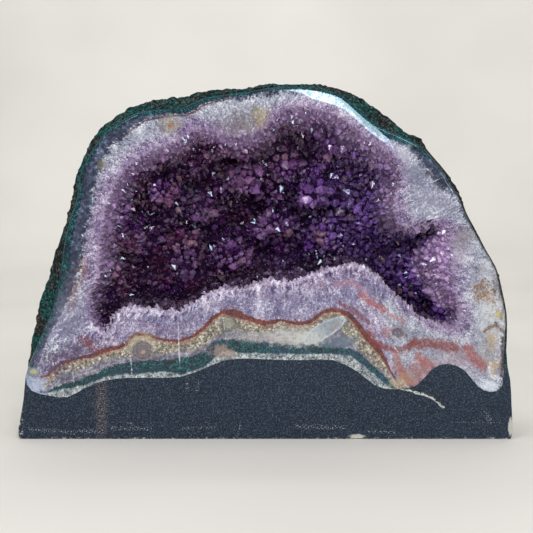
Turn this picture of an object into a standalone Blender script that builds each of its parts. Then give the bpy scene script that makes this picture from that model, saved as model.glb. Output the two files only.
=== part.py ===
"""Amethyst cathedral: half a geode that stands on a sawn base.

Seen from the front it has three layers, and each is one solid: the dark host rock, which is the block at the bottom
and a thin skin around the back, the pale banded rind inside it, and the crust of amethyst crystals that lines the
hollow. The ground front face looks along -Y, +Z is up, and the origin is on the floor under the middle.
"""

import math
import random

import bmesh
import bpy
import numpy as np
from mathutils import Matrix, Vector, noise
from mathutils.geometry import delaunay_2d_cdt

MM = 0.001

# Three outlines on the front face, as (x, z) in millimetres. They have the same number of points, and points of the
# same number lie on one line across the rim. They start at the lower left corner and run up the left side.
CRYSTAL_EDGE = [
    (-126, 83), (-134, 89), (-137, 98), (-137, 108), (-136, 116), (-131, 125), (-129, 138), (-129, 151),
    (-127, 167), (-124, 182), (-117, 196), (-110, 209), (-99, 218), (-86, 225), (-74, 230), (-62, 236),
    (-52, 241), (-40, 239), (-27, 236), (-15, 237), (-3, 241), (7, 252), (19, 257), (32, 257), (47, 254),
    (61, 247), (74, 237), (86, 228), (97, 220), (103, 211), (105, 200), (100, 191), (100, 181), (101, 171),
    (110, 165), (127, 171), (140, 165), (145, 151), (144, 135), (145, 120), (149, 107), (151, 97), (147, 90),
    (143, 86), (135, 88), (129, 90), (122, 92), (113, 98), (105, 106), (96, 115), (86, 124), (77, 132),
    (66, 135), (52, 133), (36, 128), (19, 122), (2, 123), (-15, 117), (-34, 116), (-51, 109), (-68, 98),
    (-83, 100), (-99, 102), (-113, 99), (-120, 90),
]
RIND_EDGE = [
    (-168, 34), (-182, 38), (-187, 49), (-182, 64), (-174, 83), (-166, 103), (-160, 127), (-157, 149),
    (-152, 171), (-146, 189), (-144, 205), (-136, 221), (-126, 236), (-113, 246), (-100, 253), (-82, 256),
    (-65, 257), (-49, 264), (-32, 267), (-15, 269), (0, 272), (14, 273), (28, 273), (43, 271), (59, 266),
    (72, 255), (87, 243), (103, 236), (117, 229), (125, 222), (131, 215), (137, 208), (141, 201), (145, 195),
    (149, 188), (154, 176), (160, 164), (169, 148), (178, 132), (182, 115), (186, 98), (186, 80), (185, 59),
    (183, 41), (174, 37), (164, 42), (154, 54), (141, 59), (129, 55), (117, 42), (100, 39), (85, 42), (71, 53),
    (52, 62), (32, 62), (11, 62), (-11, 63), (-31, 62), (-49, 55), (-66, 49), (-86, 48), (-107, 48), (-125, 46),
    (-141, 40), (-154, 33),
]
ROCK_EDGE = [
    (-159, 0), (-191, 0), (-190, 24), (-187, 59), (-183, 79), (-178, 103), (-171, 125), (-164, 147), (-156, 171),
    (-151, 190), (-147, 207), (-140, 223), (-131, 239), (-119, 249), (-105, 258), (-86, 264), (-66, 266),
    (-49, 270), (-32, 272), (-15, 273), (1, 276), (14, 276), (29, 276), (45, 275), (63, 270), (77, 263),
    (93, 252), (107, 240), (120, 233), (128, 222), (134, 215), (140, 208), (144, 202), (148, 196), (152, 188),
    (156, 176), (163, 164), (171, 148), (180, 132), (185, 115), (188, 98), (189, 80), (189, 59), (191, 32),
    (191, 0), (178, 0), (159, 0), (144, 0), (129, 0), (115, 0), (100, 0), (85, 0), (69, 0), (52, 0), (32, 0),
    (11, 0), (-11, 0), (-31, 0), (-49, 0), (-66, 0), (-86, 0), (-107, 0), (-125, 0), (-141, 0), (-151, 0),
]
BASE_FIRST = 44  # the number of the lower right corner, from which ROCK_EDGE runs along the floor to its start
STEPS = 2  # samples for each outline point
SOFTENING = 9  # an outline's corners are averaged over this many samples as it goes back

# Depths behind the front face
ROCK_DEPTH = 165.0
RIND_DEPTH = 146.0
HOLLOW_DEPTH = 104.0
SIDE_DEPTH = 10.0  # where the rock is as wide as ROCK_EDGE
ROLL_DEPTH = 4.0  # how far the polished rim rolls back at the arch
ROLL_WIDTH = 17.0
LIP = 1.6  # the skin's width on the face, around the arch
CRUST_AT_FACE = 5.0
CRUST_BEHIND = 9.0
GAP = 0.35  # between solids that touch

# How the layers close towards the back
ROCK_FULLNESS = 2.6  # exponent of the superellipse in depth; 2 is an ellipse
RIND_FULLNESS = 2.0
HOLLOW_FULLNESS = 2.1
GEODE_CENTRE = np.array((26.0, 165.0))  # the layers inside the rock shrink towards this (x, z)
GEODE_DROP = np.array((-12.0, -62.0))  # and it moves by this at DROP_DEPTH
DROP_DEPTH = 150.0
ROCK_RINGS = 8
RIND_RINGS = 5
SOCKET_RINGS = 5

# The rough outside of the rock
LUMP_HEIGHT = 6.5
LUMP_SIZE = 55.0

# The crystals. Each knob is a cluster that stands out of the back wall: (x, z, radius, height)
CRYSTAL_SPACING = 10.8
CRYSTAL_HEIGHT = 6.0
CRYSTAL_SEED = 7
CRYSTAL_TRIES = 9000
OUTERMOST_SEAT = 0.97  # of the way from the middle of the back to the rim
SWELL_HEIGHT = 15.0
SWELL_SIZE = 32.0
KNOBS = [
    (-16, 208, 12, 26), (14, 216, 12, 18), (2, 160, 13, 24), (38, 192, 15, 22), (-84, 195, 13, 18),
    (-112, 150, 15, 14), (-70, 138, 17, 20), (90, 192, 14, 16), (120, 128, 16, 16), (-28, 130, 18, 20),
    (52, 156, 18, 16), (-52, 178, 14, 14),
]
FOCUS_LEFT, FOCUS_RIGHT = -85.0, 85.0  # the hollow's middle line, from which walls are seen
FOCUS_DEPTH, FOCUS_HEIGHT = 12.0, 170.0


def smooth_loop(points):
    """A closed Catmull-Rom curve through the points, with STEPS samples for each."""
    p = np.array(points, float)
    before, after, beyond = np.roll(p, 1, 0), np.roll(p, -1, 0), np.roll(p, -2, 0)
    samples = []
    for k in range(STEPS):
        f = k / STEPS
        samples.append(
            0.5
            * (
                2 * p
                + (after - before) * f
                + (2 * before - 5 * p + 4 * after - beyond) * f**2
                + (3 * p - before - 3 * after + beyond) * f**3
            )
        )
    return np.stack(samples, 1).reshape(-1, 2)


def outward(loop):
    """Unit normals of a clockwise loop, pointing out of it."""
    along = np.roll(loop, -1, 0) - np.roll(loop, 1, 0)
    normal = np.stack([-along[:, 1], along[:, 0]], 1)
    return normal / np.linalg.norm(normal, axis=1)[:, None]


def towards(start, end, distance, most):
    """Points this far from start on the way to end, or at this share of the way where that is nearer."""
    way = end - start
    share = np.minimum(distance / np.linalg.norm(way, axis=1), most)
    return start + way * share[:, None]


def on_base():
    """1 where an outline point belongs to the sawn block, 0 around the arch, and a slope between."""
    number = np.arange(len(ROCK_EDGE) * STEPS) / STEPS
    left = np.clip(2.5 - number, 0, 1)
    right = np.clip(number - (BASE_FIRST - 2.5), 0, 1)
    return np.maximum(left, right)


def at_depth(loop, depth):
    """A flat loop as points in space; depth is one number, or one for each point."""
    return np.stack([loop[:, 0], np.broadcast_to(depth, len(loop)), loop[:, 1]], 1)


def rounding(step, fullness):
    """(share of the depth, scale) of a superellipse at an angle from 0, the front, to 1, the back."""
    angle = step * math.pi / 2
    return math.sin(angle) ** (2 / fullness), max(math.cos(angle), 0.0) ** (2 / fullness)


def drop(depth):
    """How far the middle of the geode has moved at this depth."""
    return GEODE_DROP * (depth / DROP_DEPTH) ** 1.5


def softened(loop, share):
    """The loop, or from a share of 0 to 1 more of an average in which bays and bumps have gone."""
    near = [np.roll(loop, k, 0) for k in range(-SOFTENING, SOFTENING + 1)]
    return loop * (1 - share) + np.mean(near, 0) * share


def geode_ring(loop, start, full_depth, fullness, step, gap=0.0):
    """A loop of the face carried back inside the rock. A gap moves the surface inwards by that much."""
    share, scale = rounding(step, fullness)
    depth = share * full_depth
    soft = softened(loop, share)
    ring = GEODE_CENTRE + drop(depth) + scale * (soft - GEODE_CENTRE) - gap * outward(soft)
    return at_depth(ring, start * (1 - share) + depth - gap * share)


def geode_pole(full_depth, gap=0.0):
    x, z = GEODE_CENTRE + drop(full_depth)
    return np.array((x, full_depth - gap, z))


def rock_ring(loop, step):
    """A loop of the rock's outside, carried back over the floor, with its lumps."""
    share, scale = rounding(step, ROCK_FULLNESS)
    ring = at_depth(loop * scale, SIDE_DEPTH + (ROCK_DEPTH - SIDE_DEPTH) * share)
    fade = min(1.0, step * 3)
    for point in ring:
        height = LUMP_HEIGHT * fade * noise.fractal(Vector(point / LUMP_SIZE), 1.0, 2.0, 3)
        side = np.array((point[0], 0.0, point[2]))
        reach = np.linalg.norm(side)
        if reach > 1.0:
            point += side / reach * height
    return ring


def to_focus(point):
    """The unit vector from a wall of the hollow to the hollow's middle line."""
    focus = np.array((np.clip(point[0], FOCUS_LEFT, FOCUS_RIGHT), FOCUS_DEPTH, FOCUS_HEIGHT))
    way = focus - point
    return way / max(np.linalg.norm(way), 1e-6)


def swell(point, step):
    """How far the wall of the hollow stands in at a point: soft lumps, and the knobs."""
    fade = min(1.0, step * 5)
    height = SWELL_HEIGHT * max(0.0, noise.noise(Vector(point / SWELL_SIZE)) + 0.15)
    for x, z, radius, tall in KNOBS:
        away = math.hypot(point[0] - x, point[2] - z) / radius
        height = max(height, tall * math.exp(-(away**4)))
    return height * fade


class Body:
    """A mesh that is built from rings and turned into an object."""

    def __init__(self, name):
        self.name = name
        self.mesh = bmesh.new()

    def ring(self, points):
        return [self.mesh.verts.new(Vector(p)) for p in points]

    def bridge(self, first, second):
        """Joins two rings by triangles. Layers that touch are split along the same diagonals, so they stay apart."""
        for k, corner in enumerate(first):
            after = (k + 1) % len(first)
            self.mesh.faces.new((corner, first[after], second[after]))
            self.mesh.faces.new((corner, second[after], second[k]))

    def loft(self, rings):
        for first, second in zip(rings, rings[1:]):
            self.bridge(first, second)

    def close(self, ring, point):
        pole = self.mesh.verts.new(Vector(point))
        for k, corner in enumerate(ring):
            self.mesh.faces.new((corner, ring[(k + 1) % len(ring)], pole))

    def finish(self, collection, colour, roughness):
        """Makes the object, in metres."""
        bmesh.ops.recalc_face_normals(self.mesh, faces=self.mesh.faces)
        bmesh.ops.scale(self.mesh, verts=self.mesh.verts, vec=(MM, MM, MM))
        data = bpy.data.meshes.new(self.name)
        self.mesh.to_mesh(data)
        self.mesh.free()
        data.materials.append(stone(self.name, colour, roughness))
        made = bpy.data.objects.new(self.name, data)
        collection.objects.link(made)
        return made


def stone(name, colour, roughness):
    material = bpy.data.materials.new(name)
    material.use_nodes = True
    shader = material.node_tree.nodes["Principled BSDF"]
    shader.inputs["Base Color"].default_value = (*colour, 1.0)
    shader.inputs["Roughness"].default_value = roughness
    shader.inputs["Metallic"].default_value = 0.0
    return material


def face_loops():
    """The loops that the front face is made of, from the crystals outwards."""
    crystal, rind, rock = (smooth_loop(edge) for edge in (CRYSTAL_EDGE, RIND_EDGE, ROCK_EDGE))
    rock[:, 1] = np.maximum(rock[:, 1], 0.0)
    rock[BASE_FIRST * STEPS :, 1] = 0.0
    base = on_base()[:, None]
    return {
        "crystal": crystal,
        "socket": crystal + CRUST_AT_FACE * outward(crystal),
        "roll": towards(rind, crystal, ROLL_WIDTH, 0.4),
        "rind": rind,
        "lip": base * rock + (1 - base) * towards(rind, rock, LIP, 0.5),
        "rock": rock,
    }


def basalt_matrix(collection, loops, roll):
    """The host rock: the sawn block, the front lip, the rough back and the bed that the rind sits in."""
    body = Body("basalt_matrix")
    inner = [body.ring(geode_ring(loops["rind"], roll, RIND_DEPTH, RIND_FULLNESS, k / RIND_RINGS))
             for k in range(RIND_RINGS)]
    lip = body.ring(at_depth(loops["lip"], roll * 1.2))
    outer = [body.ring(rock_ring(loops["rock"], k / ROCK_RINGS)) for k in range(ROCK_RINGS)]
    body.loft(inner)
    body.loft([inner[0], lip, *outer])
    body.close(inner[-1], geode_pole(RIND_DEPTH))
    body.close(outer[-1], (0.0, ROCK_DEPTH, 0.0))
    return body.finish(collection, (0.035, 0.042, 0.05), 0.75)


def agate_rind(collection, loops, roll):
    """The pale band between the rock and the crystals. Its front is ground flat and rolls back at the arch."""
    body = Body("agate_rind")
    outer = [body.ring(geode_ring(loops["rind"], roll, RIND_DEPTH, RIND_FULLNESS, k / RIND_RINGS, GAP))
             for k in range(RIND_RINGS)]
    rolled = body.ring(at_depth(loops["roll"], 0.0))
    inner = [body.ring(geode_ring(loops["socket"], 0.0, HOLLOW_DEPTH + CRUST_BEHIND, HOLLOW_FULLNESS,
                                  k / SOCKET_RINGS, -GAP))
             for k in range(SOCKET_RINGS)]
    body.loft(outer)
    body.loft([outer[0], rolled, *inner])
    body.close(outer[-1], geode_pole(RIND_DEPTH, GAP))
    body.close(inner[-1], geode_pole(HOLLOW_DEPTH + CRUST_BEHIND, -GAP))
    return body.finish(collection, (0.62, 0.58, 0.66), 0.2)


def hollow_point(crystal, across, around):
    """A point of the hollow's wall. across runs from 0, the rim, to 1, the back, and around is 0 to 1."""
    share, scale = rounding(across, HOLLOW_FULLNESS)
    sharp, soft = crystal
    position = around * len(sharp)
    low = int(position) % len(sharp)
    high = (low + 1) % len(sharp)
    part = position - int(position)
    weights = ((sharp, 1 - share), (soft, share))
    corner = sum(weight * (loop[low] * (1 - part) + loop[high] * part) for loop, weight in weights)
    depth = share * HOLLOW_DEPTH
    x, z = GEODE_CENTRE + drop(depth) + scale * (corner - GEODE_CENTRE)
    point = np.array((x, depth, z))
    return point + to_focus(point) * swell(point, across)


def crystal_seats(crystal):
    """Where crystals stand: (x, y) of a unit disk whose rim is the hollow's rim, spaced evenly over the wall."""
    chance = random.Random(CRYSTAL_SEED)
    seats, places = [], []
    for _ in range(CRYSTAL_TRIES):
        reach = OUTERMOST_SEAT * math.sqrt(chance.random())
        turn = chance.random()
        place = hollow_point(crystal, 1 - reach, turn)
        if places and np.min(np.linalg.norm(np.array(places) - place, axis=1)) < CRYSTAL_SPACING:
            continue
        places.append(place)
        seats.append((reach * math.cos(2 * math.pi * turn), reach * math.sin(2 * math.pi * turn)))
    return seats


def wall_at(crystal, spot):
    """The point of the hollow's wall for a spot of the unit disk."""
    reach = math.hypot(*spot)
    turn = math.atan2(spot[1], spot[0]) / (2 * math.pi) % 1.0
    return hollow_point(crystal, 1 - min(reach, 1.0), turn)


def crystal_wall(body, crystal, rim):
    """Covers the hollow with crystals, each a cell of the wall raised to a point with flat faces."""
    count = len(rim)
    edge = [(math.cos(2 * math.pi * k / count), math.sin(2 * math.pi * k / count)) for k in range(count)]
    seats = crystal_seats(crystal)
    spots = [Vector(p) for p in (*edge, *seats)]
    links = [(k, (k + 1) % count) for k in range(count)]
    spots, _, triangles, *_ = delaunay_2d_cdt(spots, links, [], 1, 1e-6)
    valleys = [sum((Vector(spots[i]) for i in t), Vector((0, 0))) / 3 for t in triangles]
    corners = body.ring(wall_at(crystal, v) for v in valleys)
    fans = {}
    for number, triangle in enumerate(triangles):
        for i in triangle:
            fans.setdefault(i, []).append(number)
        for a, b in zip(triangle, (*triangle[1:], triangle[0])):
            if max(a, b) < count and (a - b) % count in (1, count - 1):
                body.mesh.faces.new((rim[a], rim[b], corners[number]))
    cells = []
    for i, fan in fans.items():
        middle = Vector(spots[i])
        if i < count:
            fan.sort(key=lambda number: (valleys[number] - middle).angle_signed(-middle))
            body.mesh.faces.new([rim[i], *(corners[number] for number in fan)])
        else:
            fan.sort(key=lambda number: math.atan2(*(valleys[number] - middle).yx))
            cells.append(body.mesh.faces.new([corners[number] for number in fan]))
    return cells


def amethyst_crust(collection, loops):
    """The lining of the hollow: a shell whose inside is all crystal points."""
    body = Body("amethyst_crust")
    outer = [body.ring(geode_ring(loops["socket"], 0.0, HOLLOW_DEPTH + CRUST_BEHIND, HOLLOW_FULLNESS,
                                  k / SOCKET_RINGS))
             for k in range(SOCKET_RINGS)]
    rim = body.ring(at_depth(loops["crystal"], 0.0))
    body.loft(outer)
    body.bridge(outer[0], rim)
    body.close(outer[-1], geode_pole(HOLLOW_DEPTH + CRUST_BEHIND))
    cells = crystal_wall(body, (loops["crystal"], softened(loops["crystal"], 1.0)), rim)
    chance = random.Random(CRYSTAL_SEED)
    for cell in cells:
        middle = np.array(cell.calc_center_median())
        lean = np.array([chance.uniform(-0.35, 0.35) for _ in range(3)])
        tall = CRYSTAL_HEIGHT * chance.uniform(0.75, 1.2)
        tip = middle + (to_focus(middle) + lean) * tall
        poked = bmesh.ops.poke(body.mesh, faces=[cell])
        poked["verts"][0].co = Vector(tip)
    return body.finish(collection, (0.16, 0.06, 0.27), 0.15)


def centre_on_floor(pieces, rock):
    """Moves the pieces so that the origin is on the floor under the middle of the rock's box."""
    corners = np.array([corner[:] for corner in rock.bound_box])
    middle = (corners.min(0) + corners.max(0)) / 2
    for piece in pieces:
        piece.data.transform(Matrix.Translation((-middle[0], -middle[1], 0.0)))


def main():
    for old in list(bpy.data.objects):
        bpy.data.objects.remove(old)
    collection = bpy.data.collections.new("amethyst_cathedral")
    bpy.context.scene.collection.children.link(collection)
    loops = face_loops()
    roll = ROLL_DEPTH * (1 - on_base())
    rock = basalt_matrix(collection, loops, roll)
    rind = agate_rind(collection, loops, roll)
    crust = amethyst_crust(collection, loops)
    centre_on_floor((rock, rind, crust), rock)


if __name__ == "__main__":
    main()
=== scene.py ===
"""The looks of an amethyst cathedral: a sawn half geode on a dark rock base.

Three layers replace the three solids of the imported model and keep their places: the host rock, the banded
rind, and the crust, which is a shell with a crowd of single crystals on it. Lengths are in millimetres until
a mesh is made. Face coordinates are (x, z) on the ground front, and depth runs back from it.
"""

import math

import bmesh
import bpy
import numpy as np
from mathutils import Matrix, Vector, noise
from mathutils.kdtree import KDTree


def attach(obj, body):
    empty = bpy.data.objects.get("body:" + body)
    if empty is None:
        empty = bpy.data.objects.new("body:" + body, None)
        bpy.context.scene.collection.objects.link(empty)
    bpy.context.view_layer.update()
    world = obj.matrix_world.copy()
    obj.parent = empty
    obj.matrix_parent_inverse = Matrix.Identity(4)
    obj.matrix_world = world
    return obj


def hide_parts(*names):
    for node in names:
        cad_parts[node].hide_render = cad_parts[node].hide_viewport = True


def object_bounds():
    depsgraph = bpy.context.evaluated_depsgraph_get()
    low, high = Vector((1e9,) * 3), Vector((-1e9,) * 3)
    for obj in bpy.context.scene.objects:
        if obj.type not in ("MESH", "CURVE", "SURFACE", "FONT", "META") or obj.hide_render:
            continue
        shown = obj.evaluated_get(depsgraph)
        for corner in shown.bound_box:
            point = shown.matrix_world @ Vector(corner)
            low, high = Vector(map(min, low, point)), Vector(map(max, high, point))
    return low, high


bl_info = {
    "name": "Amethyst Cathedral",
    "version": (1, 0, 0),
    "blender": (4, 5, 0),
    "location": "3D View > Sidebar > Cathedral",
    "description": "Makes the rock, the agate rind and the crystals of a standing half geode",
    "category": "Object",
}

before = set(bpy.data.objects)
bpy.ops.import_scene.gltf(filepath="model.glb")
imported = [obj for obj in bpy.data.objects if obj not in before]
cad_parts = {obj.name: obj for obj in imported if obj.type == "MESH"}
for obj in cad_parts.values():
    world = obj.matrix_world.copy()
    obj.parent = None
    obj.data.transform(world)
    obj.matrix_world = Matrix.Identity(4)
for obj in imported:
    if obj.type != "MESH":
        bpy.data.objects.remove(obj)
CAD_BOX = [[float(c) for c in corner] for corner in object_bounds()]

MM = 0.001
SHIFT_X, SHIFT_Y = 0.4, -82.5  # from face coordinates and depth to the frame
PHOTO_WIDTH = 533  # pixels
PIXEL = 0.772  # the millimetres of the front face that a pixel covers

# Three outlines on the front face, from the lower left corner up the left side. Points of the same number,
# which is called a station, lie on one line across the rim.
CRYSTAL_EDGE = [
    (-126, 83), (-134, 89), (-137, 98), (-137, 108), (-136, 116), (-131, 125), (-129, 138), (-129, 151),
    (-127, 167), (-124, 182), (-117, 196), (-110, 209), (-99, 218), (-86, 225), (-74, 230), (-62, 236),
    (-52, 241), (-40, 239), (-27, 236), (-15, 237), (-3, 241), (7, 252), (19, 257), (32, 257), (47, 254),
    (61, 247), (74, 237), (86, 228), (97, 220), (103, 211), (105, 200), (100, 191), (100, 181),
    (101, 171), (110, 165), (127, 171), (140, 165), (145, 151), (144, 135), (145, 120), (149, 107),
    (151, 97), (147, 90), (143, 86), (135, 88), (129, 90), (122, 92), (113, 98), (105, 106), (96, 115),
    (86, 124), (77, 132), (66, 135), (52, 133), (36, 128), (19, 122), (2, 123), (-15, 117), (-34, 116),
    (-51, 109), (-68, 98), (-83, 100), (-99, 102), (-113, 99), (-120, 90),
]
RIND_EDGE = [
    (-168, 34), (-182, 38), (-187, 49), (-182, 64), (-174, 83), (-166, 103), (-160, 127), (-157, 149),
    (-152, 171), (-146, 189), (-144, 205), (-136, 221), (-126, 236), (-113, 246), (-100, 253), (-82, 256),
    (-65, 257), (-49, 264), (-32, 267), (-15, 269), (0, 272), (14, 273), (28, 273), (43, 271), (59, 266),
    (72, 255), (87, 243), (103, 236), (117, 229), (125, 222), (131, 215), (137, 208), (141, 201),
    (145, 195), (149, 188), (154, 176), (160, 164), (169, 148), (178, 132), (182, 115), (186, 98),
    (186, 80), (185, 59), (183, 41), (174, 37), (164, 42), (154, 54), (141, 59), (129, 55), (117, 42),
    (100, 39), (85, 42), (71, 53), (52, 62), (32, 62), (11, 62), (-11, 63), (-31, 62), (-49, 55),
    (-66, 49), (-86, 48), (-107, 48), (-125, 46), (-141, 40), (-154, 33),
]
ROCK_EDGE = [
    (-159, 0), (-191, 0), (-190, 24), (-187, 59), (-183, 79), (-178, 103), (-171, 125), (-164, 147),
    (-156, 171), (-151, 190), (-147, 207), (-140, 223), (-131, 239), (-119, 249), (-105, 258), (-86, 264),
    (-66, 266), (-49, 270), (-32, 272), (-15, 273), (1, 276), (14, 276), (29, 276), (45, 275), (63, 270),
    (77, 263), (93, 252), (107, 240), (120, 233), (128, 222), (134, 215), (140, 208), (144, 202),
    (148, 196), (152, 188), (156, 176), (163, 164), (171, 148), (180, 132), (185, 115), (188, 98),
    (189, 80), (189, 59), (191, 32), (191, 0), (178, 0), (159, 0), (144, 0), (129, 0), (115, 0), (100, 0),
    (85, 0), (69, 0), (52, 0), (32, 0), (11, 0), (-11, 0), (-31, 0), (-49, 0), (-66, 0), (-86, 0),
    (-107, 0), (-125, 0), (-141, 0), (-151, 0),
]
STATIONS = len(RIND_EDGE)
BASE_FIRST = 44  # the lower right corner of the block, from which ROCK_EDGE runs along the floor
CAD_SAMPLES = 2 * STATIONS
SOFTENING = 9  # samples to each side over which an outline is evened out towards the back

# Depths and shapes, as in the solids
ROCK_DEPTH = 165.0
RIND_DEPTH = 146.0
HOLLOW_DEPTH = 104.0
SIDE_DEPTH = 10.0
ROLL_DEPTH = 4.0
EDGE_ROUND = 3.0  # the polished face rounds off this close to its edge
# On the upper right the face slopes back a little between these distances from its edge, at station numbers
SLOPE_STATIONS = [19, 20, 21, 22.1, 22.9, 23.7, 24.2, 24.5, 25, 25.5, 26, 27, 27.8, 28]
SLOPE_FROM = [2, 2, 1.6, 1, 0, 0, 0.6, 1, 0.5, 1.0, 3.0, 9, 17.4, 18]
SLOPE_TO = [2, 2.8, 3.4, 5.5, 10, 10.5, 9.5, 8, 7.5, 8, 9.5, 14, 18.4, 18]
SLOPE = 0.2
LIP = 1.6
CRUST_AT_FACE, CRUST_BEHIND = 5.0, 9.0
GAP = 0.35
ROCK_FULLNESS, RIND_FULLNESS, HOLLOW_FULLNESS = 2.6, 2.0, 2.1  # 2 is an ellipse, more is squarer
GEODE_CENTRE = np.array((26.0, 165.0))
GEODE_DROP = np.array((-12.0, -62.0))  # how far its middle has moved at DROP_DEPTH
DROP_DEPTH = 150.0
BED_CROWDING = 1.3  # the rows of a bed crowd towards its edge
LUMP_HEIGHT, LUMP_SIZE = 6.5, 55.0
SWELL_HEIGHT, SWELL_SIZE = 15.0, 32.0
RIPPLE_HEIGHT, RIPPLE_SIZE = 3.5, 9.0
KNOBS = [  # the large swells, as (x, z, radius, height); crystals on them also get painted light
    (-16, 208, 12, 26), (14, 216, 12, 18), (2, 160, 13, 24), (38, 192, 15, 22), (-84, 195, 13, 18),
    (-112, 150, 15, 14), (-70, 138, 17, 20), (90, 192, 14, 16), (120, 128, 16, 16), (-28, 130, 18, 20),
    (52, 156, 18, 16), (-52, 178, 14, 14),
]
POCKETS = [  # dark places between the swells, where the crystals get painted shade, as (x, z, half width, half height)
    (-64, 158, 9, 10), (24, 187, 14, 14), (62, 217, 9, 9), (-57, 214, 20, 14), (-58, 108, 34, 9),
    (128, 100, 20, 13), (-10, 180, 10, 10), (60, 176, 12, 10),
]
FOCUS_LEFT, FOCUS_RIGHT = -85.0, 85.0
FOCUS_DEPTH, FOCUS_HEIGHT = 12.0, 170.0
# Width of the pale crystals behind the rim, at station numbers: wide over the arch, thin along the lower edge
RIM_STATIONS = [0, 3, 6, 14, 22, 28, 33, 34, 35, 36, 37, 38, 39, 40, 41, 43, 45, 63, 65]
RIM_PALE = [4, 9, 12, 15, 17, 17, 14, 6, 6, 16, 32, 38, 34, 22, 9, 4, 3.5, 3.5, 4]
# How far their bed stands in behind the rim, at the same stations
RIM_RISE = [0, 3, 5, 7, 7.5, 7, 4, 0, 0, 3, 6, 7, 6, 3, 0, -2, -3, -3, -2]

# The lower bands of the face, as heights over the floor at these x. Each line is the top or bottom of a band.
BAND_X = [
    -171, -159, -147, -136, -124, -113, -101, -90, -78, -66, -55, -47, -42, -34,
    -24, -12, -1, 11, 22, 34, 46, 57, 66, 74, 82, 90, 97, 103,
]
BAND_LINES = {
    "teal_low": [
        36, 39, 41, 45, 49, 51, 51, 52, 53, 51, 54, 57, 62, 69,
        68, 67, 67, 67, 67, 67, 67, 66, 65, 59, 52, 46, 41, 39,
    ],
    "teal_high": [
        37, 43, 46, 50, 56, 59, 61, 62, 62, 63, 66, 69, 75, 79,
        78, 77, 75, 74, 74, 75, 74, 72, 71, 66, 59, 52, 46, 40,
    ],
    "cream_low": [
        41, 52, 54, 58, 63, 64, 65, 66, 67, 69, 70, 73, 78, 83,
        85, 84, 83, 86, 85, 86, 88, 86, 77, 68, 60, 54, 48, 42,
    ],
    "red_low": [
        47, 58, 62, 64, 68, 70, 80, 80, 76, 76, 80, 86, 92, 98,
        95, 92, 88, 92, 89, 90, 99, 99, 93, 82, 72, 64, 60, 56,
    ],
    "red_high": [
        50, 61, 64, 67, 72, 74, 83, 83, 78, 78, 83, 90, 96, 101,
        102, 96, 93, 94, 92, 93, 102, 103, 98, 89, 79, 72, 68, 62,
    ],
}
# Around the arch the bands follow the rim: widths in millimetres at station numbers
ARCH_STATIONS = [0, 1, 2, 4, 6, 8, 10, 12, 14, 16, 18, 20, 23, 25, 27, 29, 31, 34, 37, 40, 43, 46, 51, 65]
ARCH_TEAL = [2, 4, 8, 10, 8, 6, 4, 3, 5, 6, 3, 3, 3, 5, 8, 4, 1.5, 1, 0.6, 0.4, 0.4, 0, 0, 2]
ARCH_SLATE = [0, 2, 6, 9, 9, 9, 10, 9, 5, 1, 1, 3, 1, 0, 2, 6, 9, 3, 1, 0, 0, 0, 0, 0]
ARCH_RED = [0, 0, 0, 0, 0, 0, 0, 0.4, 1.0, 1.2, 0.6, 0, 0, 0, 0, 0, 0.8, 0, 0, 0, 0, 0, 0, 0]


def srgb(red, green, blue):
    """A colour picked on a screen, from 0 to 255, as the linear values that Blender uses."""
    parts = (c / 255 for c in (red, green, blue))
    return tuple(c / 12.92 if c < 0.04045 else ((c + 0.055) / 1.055) ** 2.4 for c in parts)


def colour(name, description, *screen):
    return bpy.props.FloatVectorProperty(
        name=name, description=description, subtype="COLOR", size=3, min=0, max=1, default=srgb(*screen)
    )


def length(name, description, millimetres):
    return bpy.props.FloatProperty(
        name=name, description=description, subtype="DISTANCE", unit="LENGTH", min=0, default=millimetres * MM
    )


# Outlines and walls


def curve(points, around):
    """Points on the closed Catmull-Rom curve through an outline; around runs from 0 to 1."""
    p = np.array(points, float)
    place = around * len(p)
    first = np.floor(place).astype(int)
    f = (place - first)[:, None]
    a, b, c, d = (p[(first + k) % len(p)] for k in (-1, 0, 1, 2))
    return 0.5 * (2 * b + (c - a) * f + (2 * a - 5 * b + 4 * c - d) * f**2 + (3 * b - a - 3 * c + d) * f**3)


def unit(vectors, least=1e-9):
    """Each vector at length 1, unless it is shorter than the least length."""
    return vectors / np.maximum(np.linalg.norm(vectors, axis=1), least)[:, None]


def outward(loop):
    """Unit normals of a clockwise loop, pointing out of it."""
    along = np.roll(loop, -1, 0) - np.roll(loop, 1, 0)
    return unit(np.stack([-along[:, 1], along[:, 0]], 1))


def on_loop(loop, around):
    """The points of a sampled closed loop at these places."""
    places = np.arange(len(loop)) / len(loop)
    return np.stack([np.interp(around, places, loop[:, k], period=1.0) for k in (0, 1)], 1)


def averaged(loop):
    return np.mean([np.roll(loop, k, 0) for k in range(-SOFTENING, SOFTENING + 1)], 0)


CAD_AROUND = np.arange(CAD_SAMPLES) / CAD_SAMPLES
EDGES = (CRYSTAL_EDGE, RIND_EDGE, ROCK_EDGE)
CRYSTAL_LOOP, RIND_LOOP, ROCK_LOOP = (curve(edge, CAD_AROUND) for edge in EDGES)
CRYSTAL_OUT, ROCK_OUT = outward(CRYSTAL_LOOP), outward(ROCK_LOOP)
SOCKET_LOOP = CRYSTAL_LOOP + CRUST_AT_FACE * CRYSTAL_OUT


def station(around):
    return (around % 1.0) * STATIONS


def on_base(around):
    """1 where an outline point belongs to the sawn block, 0 around the arch, and a slope between."""
    number = station(around)
    return np.maximum(np.clip(2.5 - number, 0, 1), np.clip(number - (BASE_FIRST - 2.5), 0, 1))


def rock_outline(around):
    loop = curve(ROCK_EDGE, around)
    number = station(around)
    loop[(number >= BASE_FIRST) | (number <= 1), 1] = 0.0
    loop[:, 1] = np.maximum(loop[:, 1], 0.0)
    return loop


def blend(first, second, share):
    """From the first to the second by a share for each point."""
    share = np.broadcast_to(share, len(first))
    if first.ndim > 1:
        share = share[:, None]
    return first * (1 - share) + second * share


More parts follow.
